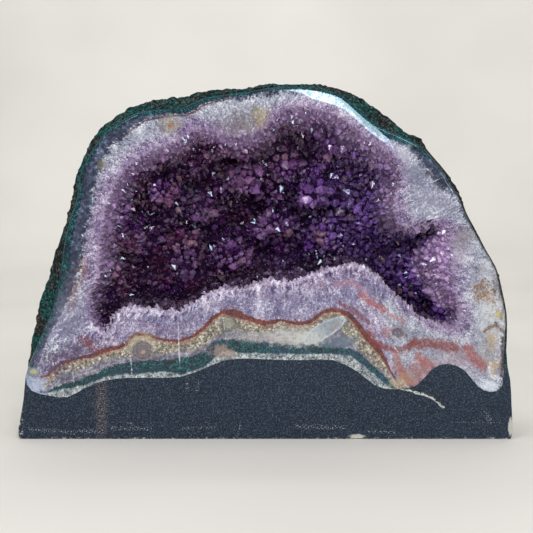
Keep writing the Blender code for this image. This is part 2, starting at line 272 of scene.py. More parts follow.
def smooth(value, low, high):
    """0 below low, 1 above high, and a soft step between."""
    t = np.clip((value - low) / (high - low), 0, 1)
    return t * t * (3 - 2 * t)


def rounding(step, fullness):
    """(share of the depth, scale) of a superellipse at an angle from 0, the front, to 1, the back."""
    angle = np.clip(step, 0, 1) * math.pi / 2
    return np.sin(angle) ** (2 / fullness), np.maximum(np.cos(angle), 0) ** (2 / fullness)


def drop(depth):
    return GEODE_DROP * ((depth / DROP_DEPTH) ** 1.5)[:, None]


def in_space(face, depth):
    """Face coordinates and a depth as points."""
    return np.stack([face[:, 0], np.broadcast_to(depth, len(face)), face[:, 1]], 1)


def bed_step(row, edge, middle):
    """The way of each row of a bed: 0 at the edge's row and 1 at the row of the middle of its back."""
    return np.clip((row - edge) / (middle - edge), 0, 1) ** BED_CROWDING


def bed(loop, around, start, full_depth, fullness, step, gap=0.0):
    """A surface that carries a loop back inside the rock, as the solids do. A gap moves it inwards."""
    share, scale = rounding(step, fullness)
    depth = share * full_depth
    soft = blend(on_loop(loop, around), on_loop(averaged(loop), around), share)
    out = blend(on_loop(outward(loop), around), on_loop(outward(averaged(loop)), around), share)
    face = GEODE_CENTRE + drop(depth) + scale[:, None] * (soft - GEODE_CENTRE - gap * out)
    return in_space(face, start * (1 - share) + depth - gap * share)


def noise_at(points, size):
    """Smooth noise from -1 to 1 at each point, with lumps of this size."""
    return np.array([noise.noise(Vector(p)) for p in points / size])


def rough_at(points, size, octaves):
    return np.array([noise.fractal(Vector(p), 1.0, 2.0, octaves) for p in points / size])


def towards_focus(points):
    """Unit vectors from the hollow's wall to its middle line."""
    focus = np.stack([
        np.clip(points[:, 0], FOCUS_LEFT, FOCUS_RIGHT),
        np.full(len(points), FOCUS_DEPTH),
        np.full(len(points), FOCUS_HEIGHT),
    ], 1)
    return unit(focus - points, 1e-6)


def hollow_wall(around, across):
    """The wall of the hollow, with its swells. across runs from 0, the rim, to 1, the middle of the back."""
    share, scale = rounding(across, HOLLOW_FULLNESS)
    corner = blend(on_loop(CRYSTAL_LOOP, around), on_loop(averaged(CRYSTAL_LOOP), around), share)
    depth = share * HOLLOW_DEPTH
    points = in_space(GEODE_CENTRE + drop(depth) + scale[:, None] * (corner - GEODE_CENTRE), depth)
    height = SWELL_HEIGHT * np.maximum(0, noise_at(points, SWELL_SIZE) + 0.15)
    ragged = 1 + 0.5 * noise_at(points, 11.0)
    for x, z, radius, tall in KNOBS:
        away = np.hypot(points[:, 0] - x, points[:, 2] - z) / radius * ragged
        height = np.maximum(height, 0.85 * tall * np.exp(-(away**3)))
    height = (height + RIPPLE_HEIGHT * noise_at(points + 50, RIPPLE_SIZE)) * np.minimum(1, across * 5)
    rise = np.interp(station(around), RIM_STATIONS, RIM_RISE)
    height += rise * smooth(across, 0.0, 0.05) * smooth(across, 0.30, 0.10)
    return points + towards_focus(points) * np.maximum(height, -RIPPLE_HEIGHT)[:, None]


def rim_distance(points):
    """How far points are from the crystals' ground edge, seen from the front, and its nearest station."""
    away = np.linalg.norm(points[:, None, (0, 2)] - CRYSTAL_LOOP[None], axis=2)
    return np.min(away, axis=1), station(np.argmin(away, axis=1) / CAD_SAMPLES)


# Meshes


def placed(points):
    """Points in millimetres behind the face as points of the frame, kept inside the box of the solids."""
    points = (points + (SHIFT_X, SHIFT_Y, 0.0)) * MM
    return np.clip(points, CAD_BOX[0], CAD_BOX[1])


def sheet(name, columns, rows, place):
    """A closed surface from a grid. place turns (around, across) into points and values for the paint."""
    grid = bmesh.new()
    bmesh.ops.create_grid(grid, x_segments=columns, y_segments=rows, size=0.5)
    data = bpy.data.meshes.new(name)
    grid.to_mesh(data)
    flat = np.empty(len(data.vertices) * 3)
    data.vertices.foreach_get("co", flat)
    flat = flat.reshape(-1, 3) + 0.5
    points, values = place(flat[:, 0], flat[:, 1])
    data.vertices.foreach_set("co", placed(points).ravel())
    for key, value in values.items():
        data.attributes.new(key, "FLOAT", "POINT").data.foreach_set("value", value)
    grid.clear()
    grid.from_mesh(data)
    bmesh.ops.remove_doubles(grid, verts=grid.verts, dist=1e-7)
    bmesh.ops.recalc_face_normals(grid, faces=grid.faces)
    grid.to_mesh(data)
    grid.free()
    return data


def show(name, data, material, node, sharp):
    """Makes the piece from its mesh, sharp from this angle, and lets it stand for a node of the frame."""
    data.materials.append(material)
    data.shade_smooth()
    data.set_sharp_from_angle(angle=math.radians(sharp))
    piece = bpy.data.objects.new(name, data)
    bpy.context.scene.collection.objects.link(piece)
    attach(piece, "root")
    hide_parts(node)


# Shader expressions


class Signal:
    """A socket of a shader. Arithmetic on it adds Math nodes."""

    def __init__(self, paint, socket):
        self.paint = paint
        self.socket = socket

    def math(self, operation, *others):
        return self.paint.math(operation, self, *others)

    def __add__(self, other):
        return self.math("ADD", other)

    def __mul__(self, other):
        return self.math("MULTIPLY", other)

    def __sub__(self, other):
        return self.math("SUBTRACT", other)

    def __rsub__(self, other):
        return self.paint.math("SUBTRACT", other, self)

    __radd__ = __add__
    __rmul__ = __mul__


class Paint:
    """The node tree of one material, with positions in millimetres."""

    def __init__(self, name):
        self.material = bpy.data.materials.new(name)
        self.material.use_nodes = True
        self.tree = self.material.node_tree
        self.surface = self.tree.nodes["Principled BSDF"]
        place = self.add("ShaderNodeTexCoord", {}, {}, "Object")
        self.place = self.add("ShaderNodeVectorMath", {"operation": "SCALE"}, {0: place, "Scale": 1 / MM})
        self.x = self.part(self.place, 0) - SHIFT_X
        self.y = self.part(self.place, 1)
        self.z = self.part(self.place, 2)
        self.face = self.vector(self.x, self.z, 0.0)

    def add(self, kind, settings, inputs, output=0):
        """Adds a node of this kind: its settings first, then the values or links of its sockets."""
        node = self.tree.nodes.new(kind)
        for key, value in settings.items():
            if key == "stops":
                fill_ramp(node.color_ramp, value)
            else:
                setattr(node, key, value)
        for key, value in inputs.items():
            if isinstance(value, Signal):
                self.tree.links.new(value.socket, node.inputs[key])
            else:
                node.inputs[key].default_value = value
        return Signal(self, node.outputs[output])

    def math(self, operation, *values):
        return self.add("ShaderNodeMath", {"operation": operation}, dict(enumerate(values)))

    def part(self, vector, number):
        return self.add("ShaderNodeSeparateXYZ", {}, {0: vector}, number)

    def vector(self, x, y, z):
        return self.add("ShaderNodeCombineXYZ", {}, {0: x, 1: y, 2: z})

    def noise(self, size, detail=2.0, roughness=0.5, place=None, contrast=2.2):
        """Noise that fills 0 to 1, whose grains have this size in millimetres."""
        values = {"Vector": place or self.place, "Scale": 1 / size, "Detail": detail, "Roughness": roughness}
        raw = self.add("ShaderNodeTexNoise", {}, values)
        stretch = {"operation": "MULTIPLY_ADD", "use_clamp": True}
        return self.add("ShaderNodeMath", stretch, {0: raw, 1: contrast, 2: 0.5 - 0.5 * contrast})

    def cells(self, size, output="Distance", place=None):
        """Distance from the middles of cells of this size, or a colour for each."""
        values = {"Vector": place or self.place, "Scale": 1 / size}
        return self.add("ShaderNodeTexVoronoi", {}, values, output)

    def value(self, name):
        return self.add("ShaderNodeAttribute", {"attribute_name": name}, {}, "Fac")

    def tint(self, name):
        return self.add("ShaderNodeAttribute", {"attribute_name": name}, {}, "Color")

    def step(self, value, low, high):
        """0 at low, 1 at high, and a soft step between."""
        values = {"Value": value, "From Min": low, "From Max": high}
        return self.add("ShaderNodeMapRange", {"interpolation_type": "SMOOTHSTEP"}, values)

    def mix(self, first, second, share):
        inputs = {0: share, 6: first, 7: second}
        inputs = {key: (*value, 1.0) if isinstance(value, tuple) else value for key, value in inputs.items()}
        return self.add("ShaderNodeMix", {"data_type": "RGBA"}, inputs, 2)

    def ramp(self, value, *stops):
        """Colours between stops, each of them a place from 0 to 1 and a screen colour."""
        return self.add("ShaderNodeValToRGB", {"stops": stops}, {0: value})

    def vector_math(self, operation, *values, output=0):
        return self.add("ShaderNodeVectorMath", {"operation": operation}, dict(enumerate(values)), output)

    def turned(self, middle, turn):
        """Face coordinates turned back by degrees about a point, which stays where it is."""
        inputs = {0: self.face, 1: middle, "Angle": -math.radians(turn)}
        return self.add("ShaderNodeVectorRotate", {"rotation_type": "Z_AXIS"}, inputs) if turn else self.face

    def spot(self, x, z, wide, tall, turn=0.0, blur=0.4, wobble=0.0):
        """1 inside an ellipse on the face, turned by degrees, and 0 outside it."""
        size, middle = (1 / wide, 1 / tall, 0), (-x / wide, -z / tall, 0)
        place = self.vector_math("MULTIPLY_ADD", self.turned((x, z, 0), turn), size, middle)
        away = self.vector_math("LENGTH", place, output=1)
        return self.step(away + wobble, 1 + blur, 1 - blur)

    def ring(self, x, z, wide, tall, turn, thin, wobble=0.0):
        """1 on the outline of an ellipse; thin is the line's half width as a share of the size."""
        inner = self.spot(x, z, wide * (1 - thin), tall * (1 - thin), turn, thin, wobble)
        return self.spot(x, z, wide * (1 + thin), tall * (1 + thin), turn, thin, wobble) - inner

    def line(self, start, end, width, sway=0.0):
        """1 on a scratch or crack between two points of the face. sway adds millimetres to its distance."""
        (x0, z0), (x1, z1) = start, end
        middle = ((x0 + x1) / 2, (z0 + z1) / 2, 0)
        place = self.turned(middle, math.degrees(math.atan2(z1 - z0, x1 - x0)))
        place = self.vector_math("ABSOLUTE", self.vector_math("SUBTRACT", place, middle))
        beyond = self.vector_math("SUBTRACT", place, (math.dist(start, end) / 2, 0, 0))
        away = self.vector_math("LENGTH", self.vector_math("MAXIMUM", beyond, (0, 0, 0)), output=1)
        return self.step(away + sway, width, width * 0.3)

    def bump(self, height, distance, below=None):
        """A normal with relief; distance is how many millimetres a height of 1 is."""
        inputs = {"Height": height, "Distance": distance * MM, "Strength": 1.0}
        if below:
            inputs["Normal"] = below
        return self.add("ShaderNodeBump", {}, inputs)

    def finish(self, **inputs):
        """Connects or sets the surface's sockets and gives the material."""
        for key, value in inputs.items():
            socket = self.surface.inputs[key.replace("_", " ")]
            if isinstance(value, Signal):
                self.tree.links.new(value.socket, socket)
            else:
                socket.default_value = value
        return self.material


def fill_ramp(ramp, stops):
    while len(ramp.elements) < len(stops):
        ramp.elements.new(1.0)
    for element, (place, *screen) in zip(ramp.elements, stops):
        element.position = place
        element.color = (*srgb(*screen), 1.0)


# Host rock

ROCK_COLUMNS, ROCK_ROWS = 640, 157
ROCK_BED_ROWS = 7  # rows of the bed under the rind; the others are the outside
FACE_SHARE, SIDE_SHARE = 0.26, 0.32  # of the outside's rows: the front, then the side as far as SIDE_DEPTH
ROCK_MIDDLE = (0.0, 60.0)  # from which the skin is lowered
CHIP_LEAST, CHIP_MORE, CHIP_SIZE = 0.35, 1.6, 5.0  # the chipped edge of the sawn block
SKIN = [(1.0, 12.0), (0.9, 4.4), (0.8, 2.3)]  # depth and size of the rough skin's pits and grains
SKIN_BIAS = 0.35  # lowers the skin as a whole, so that it stays within the solids
SKIN_SHARE = 0.4  # of the wall over the rind that a pit may take
FREE_DEPTH = 16.0  # behind it the wall grows thicker, and pits may be deeper


def rock_surface(around, across):
    """The outside of the rock without its fine roughness: the front, the edges and the back."""
    base = on_base(around)
    roll = ROLL_DEPTH * (1 - base)
    rind = on_loop(RIND_LOOP, around)
    rock = rock_outline(around)
    way = rock - rind
    lip = blend(rind + way * np.minimum(LIP / np.linalg.norm(way, axis=1), 0.5)[:, None], rock, base)
    edge = in_space(rock, SIDE_DEPTH)
    chip = CHIP_LEAST + CHIP_MORE * np.maximum(0, noise_at(edge * (1, 0, 1), CHIP_SIZE) + 0.05 * base)
    out = ROCK_OUT[(around * CAD_SAMPLES).astype(int) % CAD_SAMPLES]
    inset = lip - base[:, None] * chip[:, None] * 0.8 * out
    inset[:, 1] = np.maximum(inset[:, 1], 0.0)
    flat = blend(rind, inset, np.clip(across / FACE_SHARE, 0, 1))
    front = in_space(flat, roll * (1 + 0.2 * across / FACE_SHARE))
    t = np.clip((across - FACE_SHARE) / (SIDE_SHARE - FACE_SHARE), 0, 1)
    side = in_space(blend(lip, rock, t), blend(roll * 1.2 + base * chip, np.full(len(t), SIDE_DEPTH), t))
    step = np.clip((across - SIDE_SHARE) / (1 - SIDE_SHARE), 0, 1) ** 0.9
    share, scale = rounding(step, ROCK_FULLNESS)
    back = in_space(rock * scale[:, None], SIDE_DEPTH + (ROCK_DEPTH - SIDE_DEPTH) * share)
    radial = unit(in_space(back[:, (0, 2)], 0.0), 1.0)
    fade = np.minimum(1, step * 3)
    back += radial * (LUMP_HEIGHT * fade * rough_at(back, LUMP_SIZE, 3))[:, None]
    rest = np.where((across <= SIDE_SHARE)[:, None], side, back)
    return np.where((across <= FACE_SHARE)[:, None], front, rest)


def rough_skin(points, around, across):
    """Lowers the outside by pits and grains; the sawn block's front and floor stay flat."""
    outside = smooth(across, FACE_SHARE, FACE_SHARE + 0.02)
    floor = points[:, 2] < 0.5
    skin = sum(deep * (rough_at(points, size, 2) + SKIN_BIAS) for deep, size in SKIN)
    skin *= outside * (1 - 0.75 * on_base(around) * (across < SIDE_SHARE + 0.1))
    places = np.linspace(0, 1, ROCK_COLUMNS + 1)
    wall = [np.linalg.norm(RIND_LOOP - point, axis=1).min() for point in rock_outline(places)]
    deepest = SKIN_SHARE * np.interp(around, places, wall) + 0.03 * np.maximum(points[:, 1] - FREE_DEPTH, 0)
    skin = np.minimum(skin, deepest)  # so that no pit opens onto the rind
    radial = unit(in_space(points[:, (0, 2)] - ROCK_MIDDLE, 0.0), 1.0)
    return np.where(floor[:, None], points, points - radial * skin[:, None])


def place_rock(around, across):
    """The rock: the bed that the rind lies in, then its outside."""
    row = np.round(across * ROCK_ROWS)
    across = np.maximum(row - ROCK_BED_ROWS, 0) / (ROCK_ROWS - ROCK_BED_ROWS)
    arch = 1 - on_base(around)
    outside = rough_skin(rock_surface(around, across), around, across)
    step = bed_step(row, ROCK_BED_ROWS, 0)
    under = bed(RIND_LOOP, around, ROLL_DEPTH * arch, RIND_DEPTH, RIND_FULLNESS, step)
    return np.where((row < ROCK_BED_ROWS)[:, None], under, outside), {"arch": arch}


def rock_material(settings):
    """Dark basalt: honed in front, with grains, stains and scratches; rough and partly green behind, with
    painted shade in its pits.
    """
    p = Paint("basalt")
    grain = p.noise(1.25, 2.0, 0.6, contrast=4.4)
    speck = p.noise(2.2, 3.0, 0.65, contrast=2.6)
    mottle = p.noise(7.0, 4.0, 0.6)
    front = p.step(p.y, SHIFT_Y + 2.5, SHIFT_Y + 0.8) * p.step(p.value("arch"), 0.6, 0.3)
    shine = grain * 1.5 + speck * 0.7 + mottle * 0.2 - 1.16
    face = p.mix(tuple(settings.stone), tuple(settings.stone_light), shine)
    face = p.mix(face, srgb(48, 50, 54), mottle * 0.25)
    glint = p.step(p.noise(0.9, 1.0, 0.5, contrast=1.0), 0.66, 0.72)
    face = p.mix(face, srgb(104, 114, 124), glint * 0.6)
    skin = p.ramp(
        speck * 0.45 + grain * 0.30 + mottle * 0.25,
        (0.22, 3, 7, 10), (0.46, 24, 32, 36), (0.64, 58, 58, 56), (0.85, 112, 94, 80),
    )
    behind = p.step(p.y, SHIFT_Y + 6, SHIFT_Y + 50)
    skin = p.mix(skin, srgb(112, 106, 98), behind * (speck * 0.5 + mottle * 0.2))
    green = p.step(p.noise(24.0, 4.0, 0.6) * 0.68 + speck * 0.32, 0.44, 0.60) * p.step(p.x, 126, 100)
    green = green * (1 - behind * 0.45) * (1 - p.step(p.z, 232, 262) * 0.35)
    celadonite = p.mix(srgb(2, 16, 24), tuple(settings.celadonite), grain * 0.7 + speck * 0.8 - 0.3)
    edge_green = p.spot(188, 66, 8, 17, 0, 0.5, speck - 0.5) * (1 - behind)
    skin = p.mix(skin, celadonite, (green * 0.85).math("MAXIMUM", edge_green * speck))
    # painted shade: nearly black pits on the rough outside, and pale specks where the noise is highest
    pit_shade_and_specks = p.noise(1.9, 2.0, 0.65, contrast=3.0)
    skin = p.mix(skin, srgb(3, 8, 12), p.step(pit_shade_and_specks, 0.38, 0.18) * 0.8)
    skin = p.mix(skin, srgb(128, 124, 116), p.step(pit_shade_and_specks, 0.74, 0.95) * 0.5)
    base = p.mix(skin, face, front)
    base = rock_marks(p, base, front)
    relief = p.bump(grain * 0.5 + mottle * 0.4, 0.22)
    coarse = p.bump((speck + grain * 0.4) * (1 - front), 1.0, relief)
    rough = 0.48 + grain * 0.14 + (1 - front) * 0.28
    return p.finish(Base_Color=base, Roughness=rough, Normal=coarse, Specular_IOR_Level=0.2)


# The vein's course and the scratches (start, end, half width) on the front of the block
ROCK_VEIN = [(105, 39), (112, 38), (119, 36), (124, 34.5), (129, 32), (134, 28.5), (138, 25)]
ROCK_SCRATCHES = [
    ((144, 13.5), (182, 13), 0.5), ((24, 10), (60, 9), 1.9), ((-120, 9), (-90, 8), 1.8),
    ((-150, 6), (-128, 6), 1.6), ((-64, 8), (-40, 9), 1.2), ((-184, 8), (-150, 5), 1.8),
    ((-22, 2), (-20, 11), 1.0), ((-61, 39), (-61, 50), 1.2), ((-53, 38), (-53, 46), 1.2),
    ((170, 20), (174, 16), 2.4), ((-110, 14), (-104, 12), 1.0), ((80, 6), (100, 5), 1.4),
]


def rock_marks(p, base, front):
    """The white vein, scratches, the stain that runs down and pale nicks along the block's edges."""
    broken = p.noise(1.1, 2.0, 0.6)
    sway = (p.noise(3.0, 2.0) - 0.5) * 1.6
    for start, end in zip(ROCK_VEIN, ROCK_VEIN[1:]):
        vein = p.line(start, end, 1.3, sway) * p.step(broken, 0.25, 0.55)
        base = p.mix(base, srgb(196, 196, 190), vein * front)
    for start, end, width in ROCK_SCRATCHES:
        scratch = p.line(start, end, width * 1.3, sway * 0.6) * p.step(broken, 0.60, 0.85)
        base = p.mix(base, srgb(166, 168, 170), scratch * front * 0.85)
    stain = p.spot(-128, 24, 4.5, 26, 0, 0.7, sway * 0.4) * p.step(broken, 0.42, 0.85)
    base = p.mix(base, srgb(140, 122, 116), stain * front * 0.8)
    edge = p.step(p.z, 1.8, 0.3).math("MAXIMUM", p.step(p.x, -188.6, -190.4))
    nicks = edge * p.step(p.noise(2.2, 2.0, 0.7), 0.60, 0.85)
    base = p.mix(base, srgb(196, 192, 182), nicks * front * 0.85)
    corner_chip = p.spot(190.5, 10, 1.8, 6.5, 0, 0.3, sway * 0.3)
    chip = corner_chip.math("MAXIMUM", p.spot(71, 2, 5.5, 1.6, 0, 0.4, sway * 0.3))
    return p.mix(base, srgb(188, 186, 178), chip * front * 0.9)


# Banded rind

RIND_COLUMNS, RIND_ROWS = 1170, 80
RIND_FACE_FROM, RIND_FACE_TO = 7, 73  # rows of the polished face
LAYER_INSIDE = 11.0  # the thin growth line in the quartz, from the crystals
QUARTZ_IOR, POLISH_ROUGHNESS = 1.54, 0.04


def face_point(around, share):
    """A point of the face between the rind's edge, 0, and the crystals, 1, with its depth."""
    rind = on_loop(RIND_LOOP, around)
    crystal = on_loop(CRYSTAL_LOOP, around)
    way = crystal - rind
    reach = np.linalg.norm(way, axis=1)
    face = rind + way * np.broadcast_to(share, len(way))[:, None]
    outer = share * reach
    number = station(around)
    first, last = (np.interp(number, SLOPE_STATIONS, line) for line in (SLOPE_FROM, SLOPE_TO))
    slope = SLOPE * (last - np.clip(outer, first, last))
    depth = slope + (ROLL_DEPTH - SLOPE * (last - first)) * np.maximum(1 - outer / EDGE_ROUND, 0) ** 2
    return face, depth * (1 - on_base(around)), outer, (1 - share) * reach


def length_along(around):
    """Millimetres along the crystals' outline up to each place."""
    steps = np.linalg.norm(np.roll(CRYSTAL_LOOP, -1, 0) - CRYSTAL_LOOP, axis=1)
    run = np.concatenate([[0], np.cumsum(steps)])
    return np.interp(around * CAD_SAMPLES, np.arange(CAD_SAMPLES + 1), run)


def band_values(around, face, outer, inner):
    """How far each point lies inside the line of each band, for the paint."""
    number = station(around)
    low = np.maximum(smooth(number, 49.4, 50.6), smooth(number, 1.7, 1.1))
    teal = np.interp(number, ARCH_STATIONS, ARCH_TEAL)
    slate = teal + np.interp(number, ARCH_STATIONS, ARCH_SLATE)
    red = slate + np.interp(number, ARCH_STATIONS, ARCH_RED)
    arch = {"teal_low": 0 * teal, "teal_high": teal, "cream_low": slate, "red_low": slate, "red_high": red}
    # low is 1 along the lower edge, where the bands follow lines of their own, and 0 around the arch
    values = {
        key: blend(outer - arch[key], face[:, 1] - np.interp(face[:, 0], BAND_X, line), low)
        for key, line in BAND_LINES.items()
    }
    return {**values, "along": length_along(around), "outer": outer, "inner": inner, "low": low}


def place_rind(around, across):
    """The rind: its bed in the rock, the polished face, and the socket that the crust sits in."""
    row = np.round(across * RIND_ROWS)
    roll = ROLL_DEPTH * (1 - on_base(around))
    step = bed_step(row, RIND_FACE_FROM, 0)
    outer_bed = bed(RIND_LOOP, around, roll, RIND_DEPTH, RIND_FULLNESS, step, GAP)
    crystal, rind = on_loop(CRYSTAL_LOOP, around), on_loop(RIND_LOOP, around)
    end = 1 - CRUST_AT_FACE / np.linalg.norm(crystal - rind, axis=1)
    share = np.clip((row - RIND_FACE_FROM) / (RIND_FACE_TO - RIND_FACE_FROM), 0, 1) * end
    face, depth, outer, inner = face_point(around, share)
    front = in_space(face, depth)
    step = bed_step(row, RIND_FACE_TO, RIND_ROWS)
    socket = bed(SOCKET_LOOP, around, 0.0, HOLLOW_DEPTH + CRUST_BEHIND, HOLLOW_FULLNESS, step, -GAP)
    inside = np.where((row <= RIND_FACE_TO)[:, None], front, socket)
    points = np.where((row < RIND_FACE_FROM)[:, None], outer_bed, inside)
    return points, band_values(around, face, outer, inner)


def quartz(p, settings):
    """The pale body of the rim: fibres across the bands, white outside and lavender at the crystals."""
    along, outer, inner, low = (p.value(name) for name in ("along", "outer", "inner", "low"))
    tangled = p.noise(7.0, 3.0, 0.6)
    fibre_place = p.vector(along + tangled * 6, outer * 0.22 + tangled, p.y * 0.1)
    fibres = p.noise(1.3, 4.0, 0.7, fibre_place)
    comb = p.cells(2.8, "Distance", p.vector(along + tangled * 4, inner * 0.30, p.y * 0.1))
    sugar = p.noise(1.15, 2.0, 0.6, contrast=2.6)
    clouds = p.noise(13.0, 3.0, 0.6)
    blades = (comb - 0.45) * p.step(inner, 10.0, 2.0) * low
    light = fibres * 0.30 + sugar * 0.32 + clouds * 0.26 + comb * 0.24 - 0.07 + blades * 0.6
    white = p.ramp(
        light, (0.18, 74, 76, 94), (0.38, 124, 126, 144), (0.56, 163, 165, 180), (0.80, 226, 229, 236),
    )
    lilac = p.ramp(
        light, (0.16, 58, 40, 78), (0.38, 108, 92, 126), (0.56, 154, 140, 166), (0.82, 226, 218, 232),
    )
    blue = p.ramp(
        light, (0.16, 60, 56, 88), (0.38, 100, 94, 130), (0.58, 146, 144, 172), (0.84, 222, 224, 236),
    )
    edge = inner + (clouds - 0.5) * 9 + (sugar - 0.5) * 4
    share = p.step(edge, 16.0, 3.0).math("MAXIMUM", low * (0.7 + clouds * 0.3))
    body = p.mix(white, lilac, share)
    cool = p.spot(-150, 88, 24, 22, 30, 0.6, (clouds - 0.5) * 0.8)
    cool = cool.math("MAXIMUM", p.spot(-5, 104, 150, 9, 6, 0.8, (clouds - 0.5) * 1.2))
    body = p.mix(body, blue, cool * 0.7)
    spark = p.add("ShaderNodeSeparateColor", {}, {0: p.cells(2.0, "Color")})
    flecks = p.step(spark, 0.86, 0.92) * p.step(edge, 12.0, 2.0).math("MAXIMUM", low * 0.7)
    body = p.mix(body, srgb(66, 42, 104), flecks * 0.6)
    needles = p.step(fibres * 0.6 + sugar * 0.4, 0.74, 0.86)
    body = p.mix(body, tuple(settings.frost), needles * 0.4)
    layer = p.step((inner + (clouds - 0.5) * 9 - LAYER_INSIDE).math("ABSOLUTE"), 1.3, 0.2) * low
    body = p.mix(body, srgb(126, 84, 112), layer * 0.45)
    tips = p.step(inner, 3.4, 0.8) * (sugar * 0.6 + 0.1)
    body = p.mix(body, p.mix(srgb(142, 118, 154), srgb(220, 208, 230), low), tips)
    return body, fibres, sugar, clouds


def bands(p, body, fibres, sugar, clouds):
    """Lays the bands over the quartz, from the crystals outwards."""
    wave = (p.noise(6.0, 3.0, 0.6) - 0.5) * 1.8 + (p.noise(1.4, 2.0, 0.6) - 0.5) * 1.1
    teal_low, teal_high, cream_low, red_low, red_high = (p.value(name) + wave for name in BAND_LINES)
    low = p.value("low")
    speck = p.noise(0.9, 2.0, 0.6, contrast=2.6)
    blotch = p.noise(3.2, 3.0, 0.6)
    soft = 0.5  # millimetres to each side of a line over which a band begins
    red = p.ramp(
        speck * 0.45 + clouds * 0.25 + blotch * 0.3,
        (0.15, 44, 18, 20), (0.50, 94, 40, 36), (0.85, 140, 82, 68),
    )
    present = p.step(red_low - red_high, 0.15, 0.6)
    body = p.mix(body, red, p.step(red_high, soft, -soft) * p.step(red_low, -1.2, soft) * present)
    fringe = p.step(red_low, 0.2, -0.6) * p.step(red_low, -2.6, -0.6)
    pebbles = p.noise(1.7, 3.0, 0.6, contrast=2.6)
    cream = p.ramp(
        pebbles * 0.45 + sugar * 0.25 + blotch * 0.30,
        (0.22, 72, 64, 62), (0.42, 108, 101, 92), (0.58, 150, 142, 126), (0.80, 222, 217, 205),
    )
    cream = p.mix(cream, srgb(150, 96, 70), fringe * 0.6)
    body = p.mix(body, cream, p.step(red_low, soft, -soft) * low)
    veil = p.ramp(
        speck * 0.2 + blotch * 0.5 + clouds * 0.3,
        (0.15, 64, 66, 82), (0.45, 104, 102, 118), (0.60, 140, 138, 150), (0.85, 190, 186, 190),
    )
    stripes = ((cream_low * 1.9 + clouds * 3.0).math("SINE") + 1.0) * 0.5
    veil = p.mix(veil, srgb(84, 76, 92), stripes * 0.45)
    slate = p.ramp(
        blotch * 0.5 + clouds * 0.3 + speck * 0.2,
        (0.15, 26, 32, 46), (0.45, 46, 52, 72), (0.66, 82, 90, 114), (0.88, 150, 158, 180),
    )
    frost = ((blotch - 0.5) * 4 + (fibres - 0.5) * 9) * (1 - low)
    body = p.mix(body, p.mix(slate, veil, low), p.step(cream_low + frost, 1.2, -1.2))
    teal = p.ramp(
        speck * 0.55 + blotch * 0.35 + clouds * 0.1,
        (0.24, 2, 8, 16), (0.48, 3, 32, 48), (0.66, 6, 82, 88), (0.88, 50, 140, 128),
    )
    navy = p.mix(srgb(2, 10, 22), srgb(44, 90, 110), speck * 1.5 - 0.3)
    lush = p.spot(-64, 56, 24, 12, 0, 0.6).math("MAXIMUM", p.spot(-134, 45, 14, 8, 0, 0.6))
    teal = p.mix(teal, navy, p.step(p.noise(17.0, 3.0) - lush * 0.6, 0.42, 0.60) * low)
    frayed = teal_high + (speck - 0.5) * 1.6
    body = p.mix(body, teal, p.step(frayed, soft, -soft))
    contact = p.ramp(
        speck * 0.4 + blotch * 0.5 + sugar * 0.1,
        (0.20, 38, 58, 70), (0.38, 96, 108, 116), (0.54, 146, 150, 152), (0.80, 208, 213, 210),
    )
    return p.mix(body, contact, p.step(teal_low + (speck - 0.5) * 1.6, soft, -soft) * low)


STAIN_BLUR, EYE_BLUR = 0.65, 0.3  # above the first an edge is torn, and below the second nearly smooth
